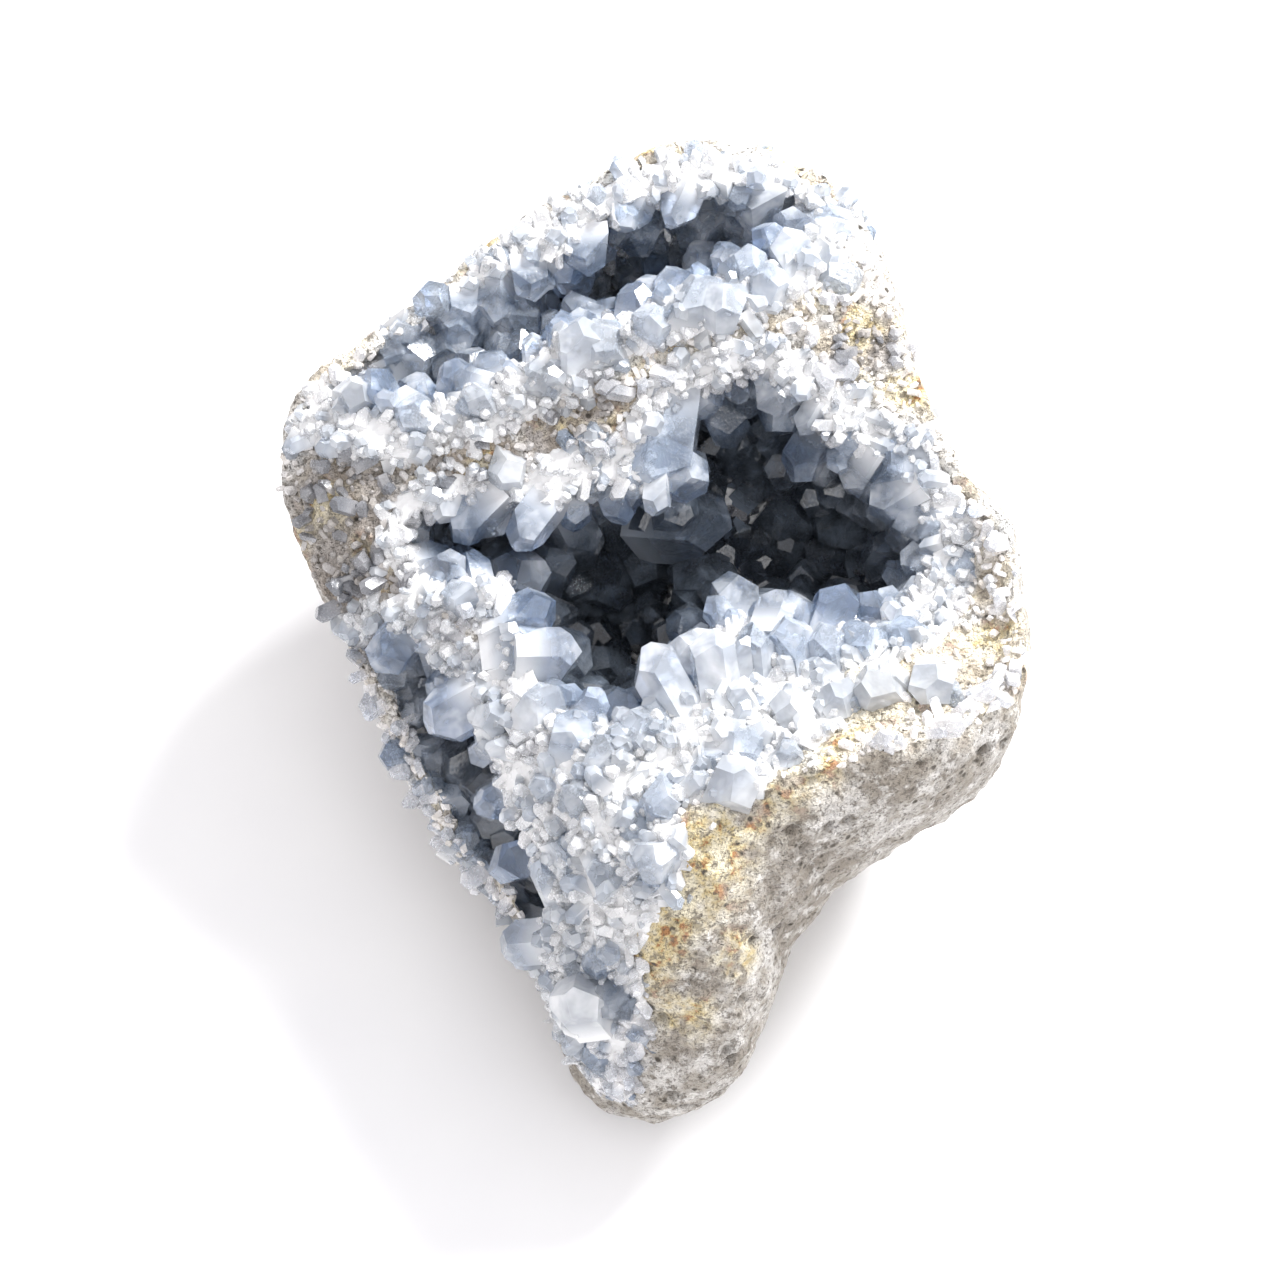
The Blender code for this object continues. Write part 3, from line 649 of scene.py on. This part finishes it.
def celestiteMaterial(finish):
    # Celestite: glassy pale blue with milky veils, cloudier and whiter towards its root, with
    # painted shade deep in the hollows and painted light on crystals out over the broken face.
    material, tree, shader, place = startMaterial(finish["name"])
    tipward, tint, deep = [
        addNode(tree, "ShaderNodeAttribute", attribute_name=title).outputs["Fac"]
        for title in ("tipward", "tint", "deep")
    ]
    veils = addNode(tree, "ShaderNodeTexNoise", {  # veils about 7 mm across
        "Vector": place, "Scale": 150, "Detail": 3, "Roughness": 0.55, "Distortion": 0.3,
    }).outputs["Fac"]
    striae = addNode(tree, "ShaderNodeTexNoise", {  # growth lines of about 0.5 mm
        "Vector": place, "Scale": 1900, "Detail": 0,
    }).outputs["Fac"]
    milky = addNode(tree, "ShaderNodeMapRange", {0: veils, 1: 0.46, 2: 0.74, 4: 0.8}).outputs[0]
    root = addNode(tree, "ShaderNodeMapRange", {0: tipward, 1: 0.6, 2: 0.1}).outputs[0]
    cloud = addNode(tree, "ShaderNodeMath", {0: milky, 1: root}, operation="MAXIMUM").outputs[0]
    # Painted shade: the shade colour darkens crystals the deeper they lie; painted light: near
    # white where deep is below zero, out over the broken face.
    body = paint(tree, colour(finish["pale"]), (
        (tint, 0, 1, 1, finish["paler"]), (cloud, 0, 1, 1, finish["milk"]),
        (deep, 0, 1, 1, finish["shade"]), (deep, 0, -1, 0.7, "#FBFBFA"),
    ))
    cloudy, clear = finish["seeThrough"]
    through = addNode(tree, "ShaderNodeMapRange", {0: cloud, 3: clear, 4: cloudy}).outputs[0]
    outer = addNode(tree, "ShaderNodeMapRange", {0: deep, 2: -1.0, 3: 1.0, 4: 0.75}).outputs[0]
    through = addNode(tree, "ShaderNodeMath", {0: through, 1: outer}, operation="MULTIPLY")
    rough = finish["roughness"]
    rough = addNode(tree, "ShaderNodeMapRange", {
        0: striae, 1: 0.35, 2: 0.7, 3: rough * 0.7, 4: rough * 1.8,
    }).outputs[0]
    bump = addNode(tree, "ShaderNodeBump", {
        "Height": striae, "Strength": 0.12, "Distance": 0.0002,
    }).outputs[0]
    tree.links.new(body, shader.inputs["Base Color"])
    tree.links.new(through.outputs[0], shader.inputs["Transmission Weight"])
    tree.links.new(rough, shader.inputs["Roughness"])
    tree.links.new(bump, shader.inputs["Normal"])
    shader.inputs["IOR"].default_value = 1.625
    if finish["absorption"]:  # only the large crystals are thick enough to tint the light
        absorb = addNode(tree, "ShaderNodeVolumeAbsorption", {
            "Color": colour("#B9CFEF"), "Density": finish["absorption"],
        })
        tree.links.new(absorb.outputs[0], tree.nodes["Material Output"].inputs["Volume"])
    return material


def limestoneMaterial():
    # Limestone rind: matt, gritty and mottled grey, sugary where broken, iron stains by the rim,
    # darker patches on the left wall and between the hollows, and painted shade in its pits and in
    # the low parts of its grit.
    material, tree, shader, place = startMaterial("limestone")
    broken, stain, sugar, pit, dirt = [
        addNode(tree, "ShaderNodeAttribute", attribute_name=title).outputs["Fac"]
        for title in ("broken", "stain", "sugar", "pit", "dirt")
    ]
    # Clouds of 10 mm, patches of 4 mm, grit of 1.6 mm and flecks of 0.7 mm.
    cloud, patch, grit, fleck = [
        addNode(tree, "ShaderNodeTexNoise", {
            "Vector": place, "Scale": scale, "Detail": detail, "Roughness": 0.68,
        }).outputs["Fac"]
        for scale, detail in ((95, 3), (260, 3), (620, 4), (1500, 2))
    ]
    # Fine pits in patches, darkened in colour only: painted shade.
    holes = addNode(tree, "ShaderNodeTexVoronoi", {"Vector": place, "Scale": 400})
    small = addNode(tree, "ShaderNodeMapRange", {
        0: holes.outputs["Distance"], 1: 0.26, 2: 0.14,
    }).outputs[0]
    group = addNode(tree, "ShaderNodeMapRange", {0: patch, 1: 0.46, 2: 0.54}).outputs[0]
    pricks = addNode(tree, "ShaderNodeMath", {0: small, 1: group}, operation="MULTIPLY").outputs[0]
    spread = addNode(tree, "ShaderNodeMapRange", {0: cloud, 1: 0.40, 2: 0.52}).outputs[0]
    rust = addNode(tree, "ShaderNodeMath", {0: stain, 1: spread}, operation="MULTIPLY").outputs[0]
    crumb = paint(tree, colour("#CBC0AE"), [(cloud, 0.40, 0.58, 1, "#F2EFEA")])
    warm = paint(tree, colour("#EDE3C8"), (
        (patch, 0.42, 0.56, 1, "#D9C592"), (patch, 0.57, 0.62, 1, "#B07F52"),
    ))
    body = paint(tree, colour("#A0988E"), (
        (cloud, 0.38, 0.62, 1, "#D8D4CF"), (patch, 0.50, 0.60, 0.7, "#A0978A"),
        (patch, 0.44, 0.36, 0.7, "#EFECE8"), (broken, 0, 1, 1, crumb), (sugar, 0, 1, 1, "#F1F0ED"),
        # Painted shade: the grit layer darkens the low parts of the grit relief.
        (dirt, 0, 1, 0.7, "#9C9087"), (rust, 0, 1, 1, warm), (grit, 0.47, 0.38, 0.75, "#7A7266"),
        (fleck, 0.58, 0.64, 0.6, "#5E574D"), (pricks, 0, 1, 1, "#575148"),
        # Painted shade in the pits.
        (pit, 0, 1, 1, "#5C564D"),
    ))
    rough = addNode(tree, "ShaderNodeMapRange", {0: grit, 1: 0.3, 2: 0.7, 3: 0.8, 4: 0.98})
    relief = addNode(tree, "ShaderNodeBump", {
        "Height": grit, "Strength": 1.0, "Distance": 0.0022,
    })
    relief = addNode(tree, "ShaderNodeBump", {
        "Height": fleck, "Strength": 0.8, "Distance": 0.0008, "Normal": relief.outputs[0],
    })
    tree.links.new(body, shader.inputs["Base Color"])
    tree.links.new(rough.outputs[0], shader.inputs["Roughness"])
    tree.links.new(relief.outputs[0], shader.inputs["Normal"])
    shader.inputs["IOR"].default_value = 1.55
    return material


# The small crystals.
def druseTree(name):
    # Crystals strewn over a surface where its attribute grow allows it.
    tree = bpy.data.node_groups.new(name, "GeometryNodeTree")
    face = tree.interface
    face.new_socket("Geometry", in_out="INPUT", socket_type="NodeSocketGeometry")
    for title, kind in (
        ("Crystals", "Collection"), ("Material", "Material"), ("Apart", "Float"),
        ("Density", "Float"), ("Least", "Float"), ("Most", "Float"), ("Tilt", "Float"),
        ("Seed", "Int"),
    ):
        face.new_socket(title, in_out="INPUT", socket_type=f"NodeSocket{kind}")
    face.new_socket("Geometry", in_out="OUTPUT", socket_type="NodeSocketGeometry")
    given = addNode(tree, "NodeGroupInput").outputs
    grow = addNode(tree, "GeometryNodeInputNamedAttribute", {"Name": "grow"}, data_type="FLOAT")
    deep = addNode(tree, "GeometryNodeInputNamedAttribute", {"Name": "deep"}, data_type="FLOAT")
    spread = addNode(tree, "GeometryNodeDistributePointsOnFaces", {
        "Mesh": given["Geometry"], "Distance Min": given["Apart"], "Density Max": given["Density"],
        "Density Factor": grow.outputs["Attribute"], "Seed": given["Seed"],
    }, distribute_method="POISSON")
    # Each crystal takes the host's deep value, which sets its painted shade or painted light.
    depthShadePoints = addNode(tree, "GeometryNodeStoreNamedAttribute", {
        "Geometry": spread.outputs["Points"], "Name": "deep", "Value": deep.outputs["Attribute"],
    }, data_type="FLOAT", domain="POINT")
    lean = addNode(tree, "FunctionNodeRandomValue", data_type="FLOAT_VECTOR")
    down = addNode(tree, "ShaderNodeMath", {0: given["Tilt"], 1: -1.0}, operation="MULTIPLY")
    low = addNode(tree, "ShaderNodeCombineXYZ", {
        "X": down.outputs[0], "Y": down.outputs[0], "Z": 0.0,
    })
    high = addNode(tree, "ShaderNodeCombineXYZ", {
        "X": given["Tilt"], "Y": given["Tilt"], "Z": 6.28,
    })
    tree.links.new(low.outputs[0], lean.inputs[0])
    tree.links.new(high.outputs[0], lean.inputs[1])
    tree.links.new(given["Seed"], lean.inputs["Seed"])
    turn = addNode(tree, "FunctionNodeEulerToRotation", {0: lean.outputs[0]})
    whole = addNode(tree, "FunctionNodeRotateRotation", {
        0: spread.outputs["Rotation"], 1: turn.outputs[0],
    }, rotation_space="LOCAL")
    scale = addNode(tree, "FunctionNodeRandomValue", {
        2: given["Least"], 3: given["Most"], "Seed": given["Seed"],
    }, data_type="FLOAT")
    shapes = addNode(tree, "GeometryNodeCollectionInfo", {
        "Collection": given["Crystals"], "Separate Children": True, "Reset Children": True,
    })
    stand = addNode(tree, "GeometryNodeInstanceOnPoints", {
        "Points": depthShadePoints.outputs[0], "Instance": shapes.outputs[0], "Pick Instance": True,
        "Rotation": whole.outputs[0], "Scale": scale.outputs[1],
    })
    shade = addNode(tree, "FunctionNodeRandomValue", {2: 0.0, 3: 1.0, "Seed": 7}, data_type="FLOAT")
    mark = addNode(tree, "GeometryNodeStoreNamedAttribute", {
        "Geometry": stand.outputs[0], "Name": "tint", "Value": shade.outputs[1],
    }, data_type="FLOAT", domain="INSTANCE")
    solid = addNode(tree, "GeometryNodeRealizeInstances", {0: mark.outputs[0]})
    finish = addNode(tree, "GeometryNodeSetMaterial", {
        "Geometry": solid.outputs[0], "Material": given["Material"],
    })
    addNode(tree, "NodeGroupOutput", {0: finish.outputs[0]})
    return tree


def strew(name, host, crystals, material, **sizes):
    # A druse of crystals on a host's surface, as one plain mesh.
    obj = bpy.data.objects.new(name, host.data.copy())
    scene.collection.objects.link(obj)
    modifier = obj.modifiers.new("druse", "NODES")
    modifier.node_group = drusePlan
    values = {"Crystals": crystals, "Material": material, **sizes}
    for item in drusePlan.interface.items_tree:
        if item.in_out == "INPUT" and item.name in values:
            modifier[item.identifier] = values[item.name]
    applyAll(obj)
    obj.data.materials.clear()
    obj.data.materials.append(material)
    return obj


def prototypes(name, count, slender, seed):
    # A few single crystals, one unit long, kept out of the scene.
    rng = random.Random(seed)
    group = bpy.data.collections.new(name)
    for number in range(count):
        bm = crystalMesh()
        length = rng.uniform(0.85, 1.15)
        addCrystal(
            bm, (0, 0, -0.25), (0, 0, length), length * rng.uniform(*slender), rng,
            sink=0, place=lambda point: point * mm,
        )
        for extraLayer in ("tint", "deep"):
            bm.verts.layers.float.remove(bm.verts.layers.float[extraLayer])
        mesh = bpy.data.meshes.new(f"{name}{number}")
        bm.to_mesh(mesh)
        bm.free()
        group.objects.link(bpy.data.objects.new(f"{name}{number}", mesh))
    return group


def dropPrototypes(group):
    for obj in list(group.objects):
        dropObject(obj)
    bpy.data.collections.remove(group)


def show(obj, slotName, *nodes):
    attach(obj, "root")
    if nodes:
        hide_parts(*nodes)
    obj.data.calc_loop_triangles()
    print("piece", obj.name, len(obj.data.loop_triangles), "triangles")


# The massive crystal that lines the hollows.
def crystalBed(plan):
    # The massive crystal that the free crystals stand on.
    lumps = plan["lumps"]
    body = ball(plan["name"] + "_bed", 5, lambda d: nodulePoint(d, 0, 0), 0.4)
    combine(body, "DIFFERENCE", frontCutter(2))
    for lump in lumps:
        spin = 0.37 * (lump[0][0] + lump[0][1])
        combine(body, "DIFFERENCE", ball("hollow", 4, lambda d: lumpPoint(lump, d, 0), spin))
    envelope = None
    for lump in lumps + plan["massive"]:
        spin = 0.37 * (lump[0][0] + lump[0][1])
        grown = ball("envelope", 4, lambda d: lumpPoint(lump, d, lump[3] + plan["overlap"]), spin)
        if envelope:
            combine(envelope, "UNION", grown)
        else:
            envelope = grown
    combine(envelope, "INTERSECT", ball("bounds", 5, lambda d: nodulePoint(d, -2.6, 30), 0.4))
    combine(body, "INTERSECT", envelope)
    remesh(body, plan["voxel"])
    return body


def finishBed(body, plan):
    # Roughen a bed and mark where crystals grow on it.
    mesh = body.data
    world = getPoints(mesh)
    points = facePoints(world)
    normals = getNormals(mesh)
    free = []
    for place in world:
        near, normal, _, _ = stoneTree.find_nearest(Vector(place))
        free.append((Vector(place) - near).dot(normal) > -0.7 * mm)
    free = np.array(free, float)
    under = breakHeights(points[:, 0], points[:, 1]) - points[:, 2]
    gap = lumpGaps(plan["lumps"], points)
    hollow = smoothStep(gap, 1.8, 0.9) * smoothStep(under, 0.5, 2.5) * free
    face = free * (1 - hollow) * np.maximum(edgeRoom(points), smoothStep(under, 1, 3))
    rough = 0.5 * facetsAt(points, 4.0) + 0.35 * facetsAt(points, 1.9, 9)
    setPoints(mesh, world + normals * (rough * np.maximum(hollow, face))[:, None] * mm)
    storeValue(mesh, "hollow", hollow)
    storeValue(mesh, "face", face)
    storeValue(mesh, "grow", hollow)
    # Painted shade deeper in the hollow, up to deepShade, and painted light (below zero) on the
    # open face.
    storeValue(mesh, "deep", smoothStep(under, 3, 24) * plan["deepShade"] - 0.8 * face)
    storeValue(mesh, "tipward", np.full(len(points), 0.3))
    storeValue(mesh, "tint", 0.5 + 0.5 * noiseAt(points, 7, 4))


def setGrow(mesh, values):
    mesh.attributes["grow"].data.foreach_set("value", np.asarray(values, np.float32))


def readValue(mesh, name):
    values = np.empty(len(mesh.vertices), np.float32)
    mesh.attributes[name].data.foreach_get("value", values)
    return values


# The stone rind: sizes in mm, and height of each size of lump.
rind = {
    "voxel": 1.0, "knobs": ((11, 0.7, 0), (4.5, 0.55, 3), (2.1, 0.45, 8)),
    "crumbs": ((4.5, 0.7, 5), (2.1, 0.45, 6)), "pitApart": 5.5, "pitDepth": 1.5,
}
# Where iron has stained the rind, along the lower right border of the crystals.
stainLine = [
    (52, -2), (44, -7), (36, -10), (28, -14), (18, -20), (13, -26), (8, -36), (0, -46), (-4, -52),
]
# Other brown patches, on the wall between the hollows and the left wall: place and size.
stainSpots = [
    (-17, 32, 7), (-28, 27, 6), (-8, 36, 5), (33, 50, 5), (40, 40, 5),
    (-55, 22, 7), (-47, 7, 6), (-41, 3, 6), (-38, 27, 6), (-4, 84, 6), (-30, 66, 5), (22, 80, 6),
    (4, -62, 7), (12, -52, 6),
]
# Where the broken stone is darker, on the left wall and in the dip between the hollows.
darkSpots = [
    (-52, 20, 15), (-46, 4, 14), (-57, 8, 10), (-38, -4, 9), (-28, 29, 7), (-18, 33, 7),
    (-10, 37, 6), (34, 48, 8), (-36, 26, 8),
]


def makeStone():
    source = frame["nodes"]["rind"]
    obj = bpy.data.objects.new("stone", source.data.copy())
    obj.matrix_world = source.matrix_world
    scene.collection.objects.link(obj)
    bm = bmesh.new()
    bm.from_mesh(obj.data)
    bm.transform(obj.matrix_world)
    bmesh.ops.remove_doubles(bm, verts=bm.verts[:], dist=1e-6)
    bm.to_mesh(obj.data)
    bm.free()
    obj.matrix_world = Matrix.Identity(4)
    remesh(obj, rind["voxel"])
    mesh = obj.data
    world = getPoints(mesh)
    points = facePoints(world)
    normals = getNormals(mesh)
    under = breakHeights(points[:, 0], points[:, 1]) - points[:, 2]
    gap = lumpGaps(mainLumps + cleftLumps + upperLumps, points)
    broken = smoothStep(under, 3.0, 1.4)
    knobs = sum(noiseAt(points, size, shift) * high for size, high, shift in rind["knobs"])
    cells = np.array([noise.voronoi(Vector(point) / rind["pitApart"])[0][0] for point in points])
    chance = noiseAt(points, 9, 17)
    pit = smoothStep(cells, 0.34, 0.08) * smoothStep(chance, -0.1, 0.15) * (1 - broken)
    crumbs = sum(facetsAt(points, size, shift) * high for size, high, shift in rind["crumbs"])
    crumbs += noiseAt(points, 9, 31) * 0.8
    rise = (1 - broken) * (knobs - pit * rind["pitDepth"]) + broken * crumbs
    rise *= smoothStep(world[:, 2] / mm, 0.4, 3.0)
    setPoints(mesh, world + normals * rise[:, None] * mm)
    edge = np.exp(-np.clip(under, 0, None) / 7.0)
    line = np.array(stainLine, float)
    steps = np.linspace(0, len(line) - 1, 60)
    trail = np.column_stack([np.interp(steps, np.arange(len(line)), line[:, k]) for k in (0, 1)])
    near = np.sqrt(((points[:, None, :2] - trail[None]) ** 2).sum(axis=2)).min(axis=1)
    stain = smoothStep(near, 12, 2) * smoothStep(points[:, 2], 0, 12) * (1 - 0.4 * broken)
    for across, up, size in stainSpots:
        away = np.hypot(points[:, 0] - across, points[:, 1] - up)
        stain = np.maximum(stain, smoothStep(away, size, size * 0.3) * (points[:, 2] > -20))
    warmth = smoothStep(noiseAt(points, 8, 21), 0.0, 0.4) * (0.4 * broken + 0.25 * edge)
    storeValue(mesh, "broken", np.clip(broken + 0.4 * edge, 0, 1))
    storeValue(mesh, "stain", np.clip(stain + warmth, 0, 1))
    storeValue(mesh, "sugar", broken * smoothStep(noiseAt(points, 6, 12), -0.1, 0.35))
    # Painted shade in the pits, drawn by the limestone's pit layer.
    storeValue(mesh, "pit", pit * 0.7)
    storeValue(mesh, "crust", smoothStep(near, 7, 3))
    storeValue(mesh, "grow", broken)
    dirt = np.zeros(len(points))
    for across, up, size in darkSpots:
        away = np.hypot(points[:, 0] - across, points[:, 1] - up)
        dirt = np.maximum(dirt, smoothStep(away, size, size * 0.4))
    storeValue(mesh, "dirt", dirt * broken)
    # Painted shade for crystals strewn on the stone: more the deeper below the broken face, and on
    # the darker patches.
    storeValue(mesh, "deep", np.maximum(smoothStep(under, 6, 24), 0.7 * dirt))
    return obj


plainStone = limestoneMaterial()
# Each finish's shade colour is painted shade, for crystals deep in the hollows.
clearBlue = celestiteMaterial({
    "name": "celestite_clear", "seeThrough": (0.4, 0.88), "pale": "#C0D6F2", "paler": "#E2ECF9",
    "milk": "#FBFCFE", "shade": "#838E9C", "roughness": 0.12, "absorption": 60.0,
})
milkyWhite = celestiteMaterial({
    "name": "celestite_milky", "seeThrough": (0.27, 0.62), "pale": "#E6ECF6", "paler": "#F6F6F9",
    "milk": "#FDFBFB", "shade": "#6A6C74", "roughness": 0.2, "absorption": 0,
})
sugarWhite = celestiteMaterial({
    "name": "celestite_sugar", "seeThrough": (0.1, 0.35), "pale": "#F0E9DF", "paler": "#FBF9F9",
    "milk": "#F8F4F1", "shade": "#8A8480", "roughness": 0.28, "absorption": 0,
})
print("materials made")


def treeOf(*objects):
    bm = bmesh.new()
    for obj in objects:
        part = obj.data.copy()
        part.transform(obj.matrix_world)
        bm.from_mesh(part)
        bpy.data.meshes.remove(part)
    tree = BVHTree.FromBMesh(bm)
    bm.free()
    return tree


solids = frame["nodes"]
stoneTree = treeOf(solids["rind"])
solidTree = treeOf(solids["rind"], solids["main_crust"], solids["upper_crust"])
skin = ball("skin", 5, lambda d: nodulePoint(d, -celestite["flushMargin"], 30), 0.4)
skinTree = treeOf(skin)
dropObject(skin)

stone = makeStone()
stone.data.materials.clear()
stone.data.materials.append(plainStone)
show(stone, "limestone", "rind")

# Each hollow: its lumps, what grows in it, how strong its painted shade is, and the sizes in mm of
# its free crystals.
mainHollow = {
    "name": "main", "node": "main_crust", "lumps": mainLumps + cleftLumps, "massive": massiveLumps,
    "crystals": mainCrystals + cleftCrystals + cleftFill, "rim": mainRim, "voxel": 0.85,
    "overlap": 0.5, "deepShade": 1.0, "druse": {"Apart": 3.9 * mm, "Least": 4.2, "Most": 9.5},
}
upperHollow = {
    "name": "upper", "node": "upper_crust", "lumps": upperLumps, "massive": [],
    "crystals": upperCrystals + upperFill, "rim": upperRim, "voxel": 0.8,
    "overlap": 0.5, "deepShade": 0.15, "druse": {"Apart": 3.3 * mm, "Least": 3.4, "Most": 8.0},
}
faceDruse = {"Apart": 2.3 * mm, "Density": 110000.0, "Least": 1.6, "Most": 4.8, "Tilt": 0.8}
smallDruse = {"Apart": 1.35 * mm, "Density": 360000.0, "Least": 1.4, "Most": 3.4, "Tilt": 0.9}
stoneDruse = {"Apart": 1.9 * mm, "Density": 200000.0, "Least": 1.8, "Most": 4.6, "Tilt": 0.9}
stoneSugar = {"Apart": 1.2 * mm, "Density": 400000.0, "Least": 0.7, "Most": 2.0, "Tilt": 1.1}

rng = random.Random(11)
beds = []
for hollowPlan in (mainHollow, upperHollow):
    bed = crystalBed(hollowPlan)
    finishBed(bed, hollowPlan)
    bed.data.materials.append(milkyWhite)
    beds.append(bed)
print("beds made")

grown = []
for hollowPlan in (mainHollow, upperHollow):
    large = grownCrystals(hollowPlan, rng)
    large.data.materials.append(clearBlue)
    grown.append(large)
print("large crystals made")

drusePlan = druseTree("druse")
pointed = prototypes("pointed", 8, (0.42, 0.75), 21)
blocky = prototypes("blocky", 7, (0.6, 0.95), 22)
for hollowPlan, bed in zip((mainHollow, upperHollow), beds):
    name = hollowPlan["name"]
    hollow, face, deep = [readValue(bed.data, title) for title in ("hollow", "face", "deep")]
    setGrow(bed.data, hollow)
    grown.append(strew(
        f"{name}_druse", bed, blocky, clearBlue,
        Density=60000.0, Tilt=0.6, Seed=2, **hollowPlan["druse"],
    ))
    setGrow(bed.data, face)
    grown.append(strew(f"{name}_face", bed, pointed, clearBlue, Seed=3, **faceDruse))
    setGrow(bed.data, np.clip(hollow * (1 - 0.35 * np.clip(deep, 0, 1)) + face, 0, 1))
    grown.append(strew(f"{name}_small", bed, pointed, milkyWhite, Seed=4, **smallDruse))

stonePoints = facePoints(getPoints(stone.data))
patches = smoothStep(noiseAt(stonePoints, 7, 14), -0.05, 0.3)
cleftSide = smoothStep(stonePoints[:, 0] * 0.7 + stonePoints[:, 1], -18, -34)
cleftSide *= smoothStep(stonePoints[:, 0], -16, -20) * smoothStep(stonePoints[:, 1], 2, -6)
sound = smoothStep(readValue(stone.data, "broken"), 0.6, 0.95)
sound *= np.maximum(edgeRoom(stonePoints), cleftSide)
sound *= 1 - 0.85 * readValue(stone.data, "crust")
setGrow(stone.data, sound * np.clip(0.25 + patches * 0.75 + cleftSide, 0, 1))
grown.append(strew("stone_crystals", stone, pointed, milkyWhite, Seed=8, **stoneDruse))
setGrow(stone.data, sound)
grown.append(strew("stone_sugar", stone, pointed, sugarWhite, Seed=6, **stoneSugar))
dropPrototypes(pointed)
dropPrototypes(blocky)
print("druses made")

for hollowPlan, bed in zip((mainHollow, upperHollow), beds):
    show(bed, "celestite", hollowPlan["node"])
for obj in grown:
    keepWithin(obj.data)
    obj.data.shade_flat()
    show(obj, "celestite")

# Floor of matt white card, light and camera.
floorMesh = bmesh.new()
bmesh.ops.create_grid(floorMesh, x_segments=8, y_segments=8, size=1.5)
floor = newObject("floor", floorMesh)
floorMaterial, floorTree, floorShader, floorPlace = startMaterial("paper")  # no gloss, faint fibre
paper = addNode(floorTree, "ShaderNodeTexNoise", {
    "Vector": floorPlace, "Scale": 60, "Detail": 0,
}).outputs["Fac"]
tone = paint(floorTree, colour("#F4F4F5"), [(paper, 0, 1, 1, "#F8F8F8")])
floorTree.links.new(tone, floorShader.inputs["Base Color"])
floorShader.inputs["Roughness"].default_value = 0.9
floor.data.materials.append(floorMaterial)

world = bpy.data.worlds.new("studio")
world.use_nodes = True
sky = world.node_tree.nodes["Background"]
sky.inputs["Color"].default_value = colour("#FBF9FC")
sky.inputs["Strength"].default_value = 0.96
scene.world = world
target = layDown((0, 0, 0))


def addLamp(name, place, size, power):
    light = bpy.data.lights.new(name, "AREA")
    light.shape = "DISK"
    light.size = size
    light.energy = power
    lamp = bpy.data.objects.new(name, light)
    scene.collection.objects.link(lamp)
    lamp.location = target + Vector(place)
    lamp.rotation_mode = "QUATERNION"
    lamp.rotation_quaternion = Vector(place).to_track_quat("Z", "Y")


# Place from the geode in m, size in m, power in W.
lamps = {"window": ((0.5, 0.5, 0.75), 0.5, 24), "fill": ((0.1, -0.5, 0.85), 0.7, 2.5)}
for title, (place, size, power) in lamps.items():
    addLamp(title, place, size, power)

view = {"elevation": 60, "distance": 1.0, "lens": 168.75, "shiftX": -20 / 1280, "shiftY": -8 / 1280}
elevation = math.radians(view["elevation"])
back = Vector((0, -math.cos(elevation), math.sin(elevation)))
camera = bpy.data.objects.new("camera", bpy.data.cameras.new("camera"))
scene.collection.objects.link(camera)
camera.location = target + back * view["distance"]
camera.rotation_mode = "QUATERNION"
camera.rotation_quaternion = (-back).to_track_quat("-Z", "Y")
camera.data.sensor_width = 36
camera.data.lens = view["lens"]
camera.data.shift_x = view["shiftX"]
camera.data.shift_y = view["shiftY"]
camera.data.clip_start = 0.01
scene.camera = camera
scene.view_settings.view_transform = "Standard"
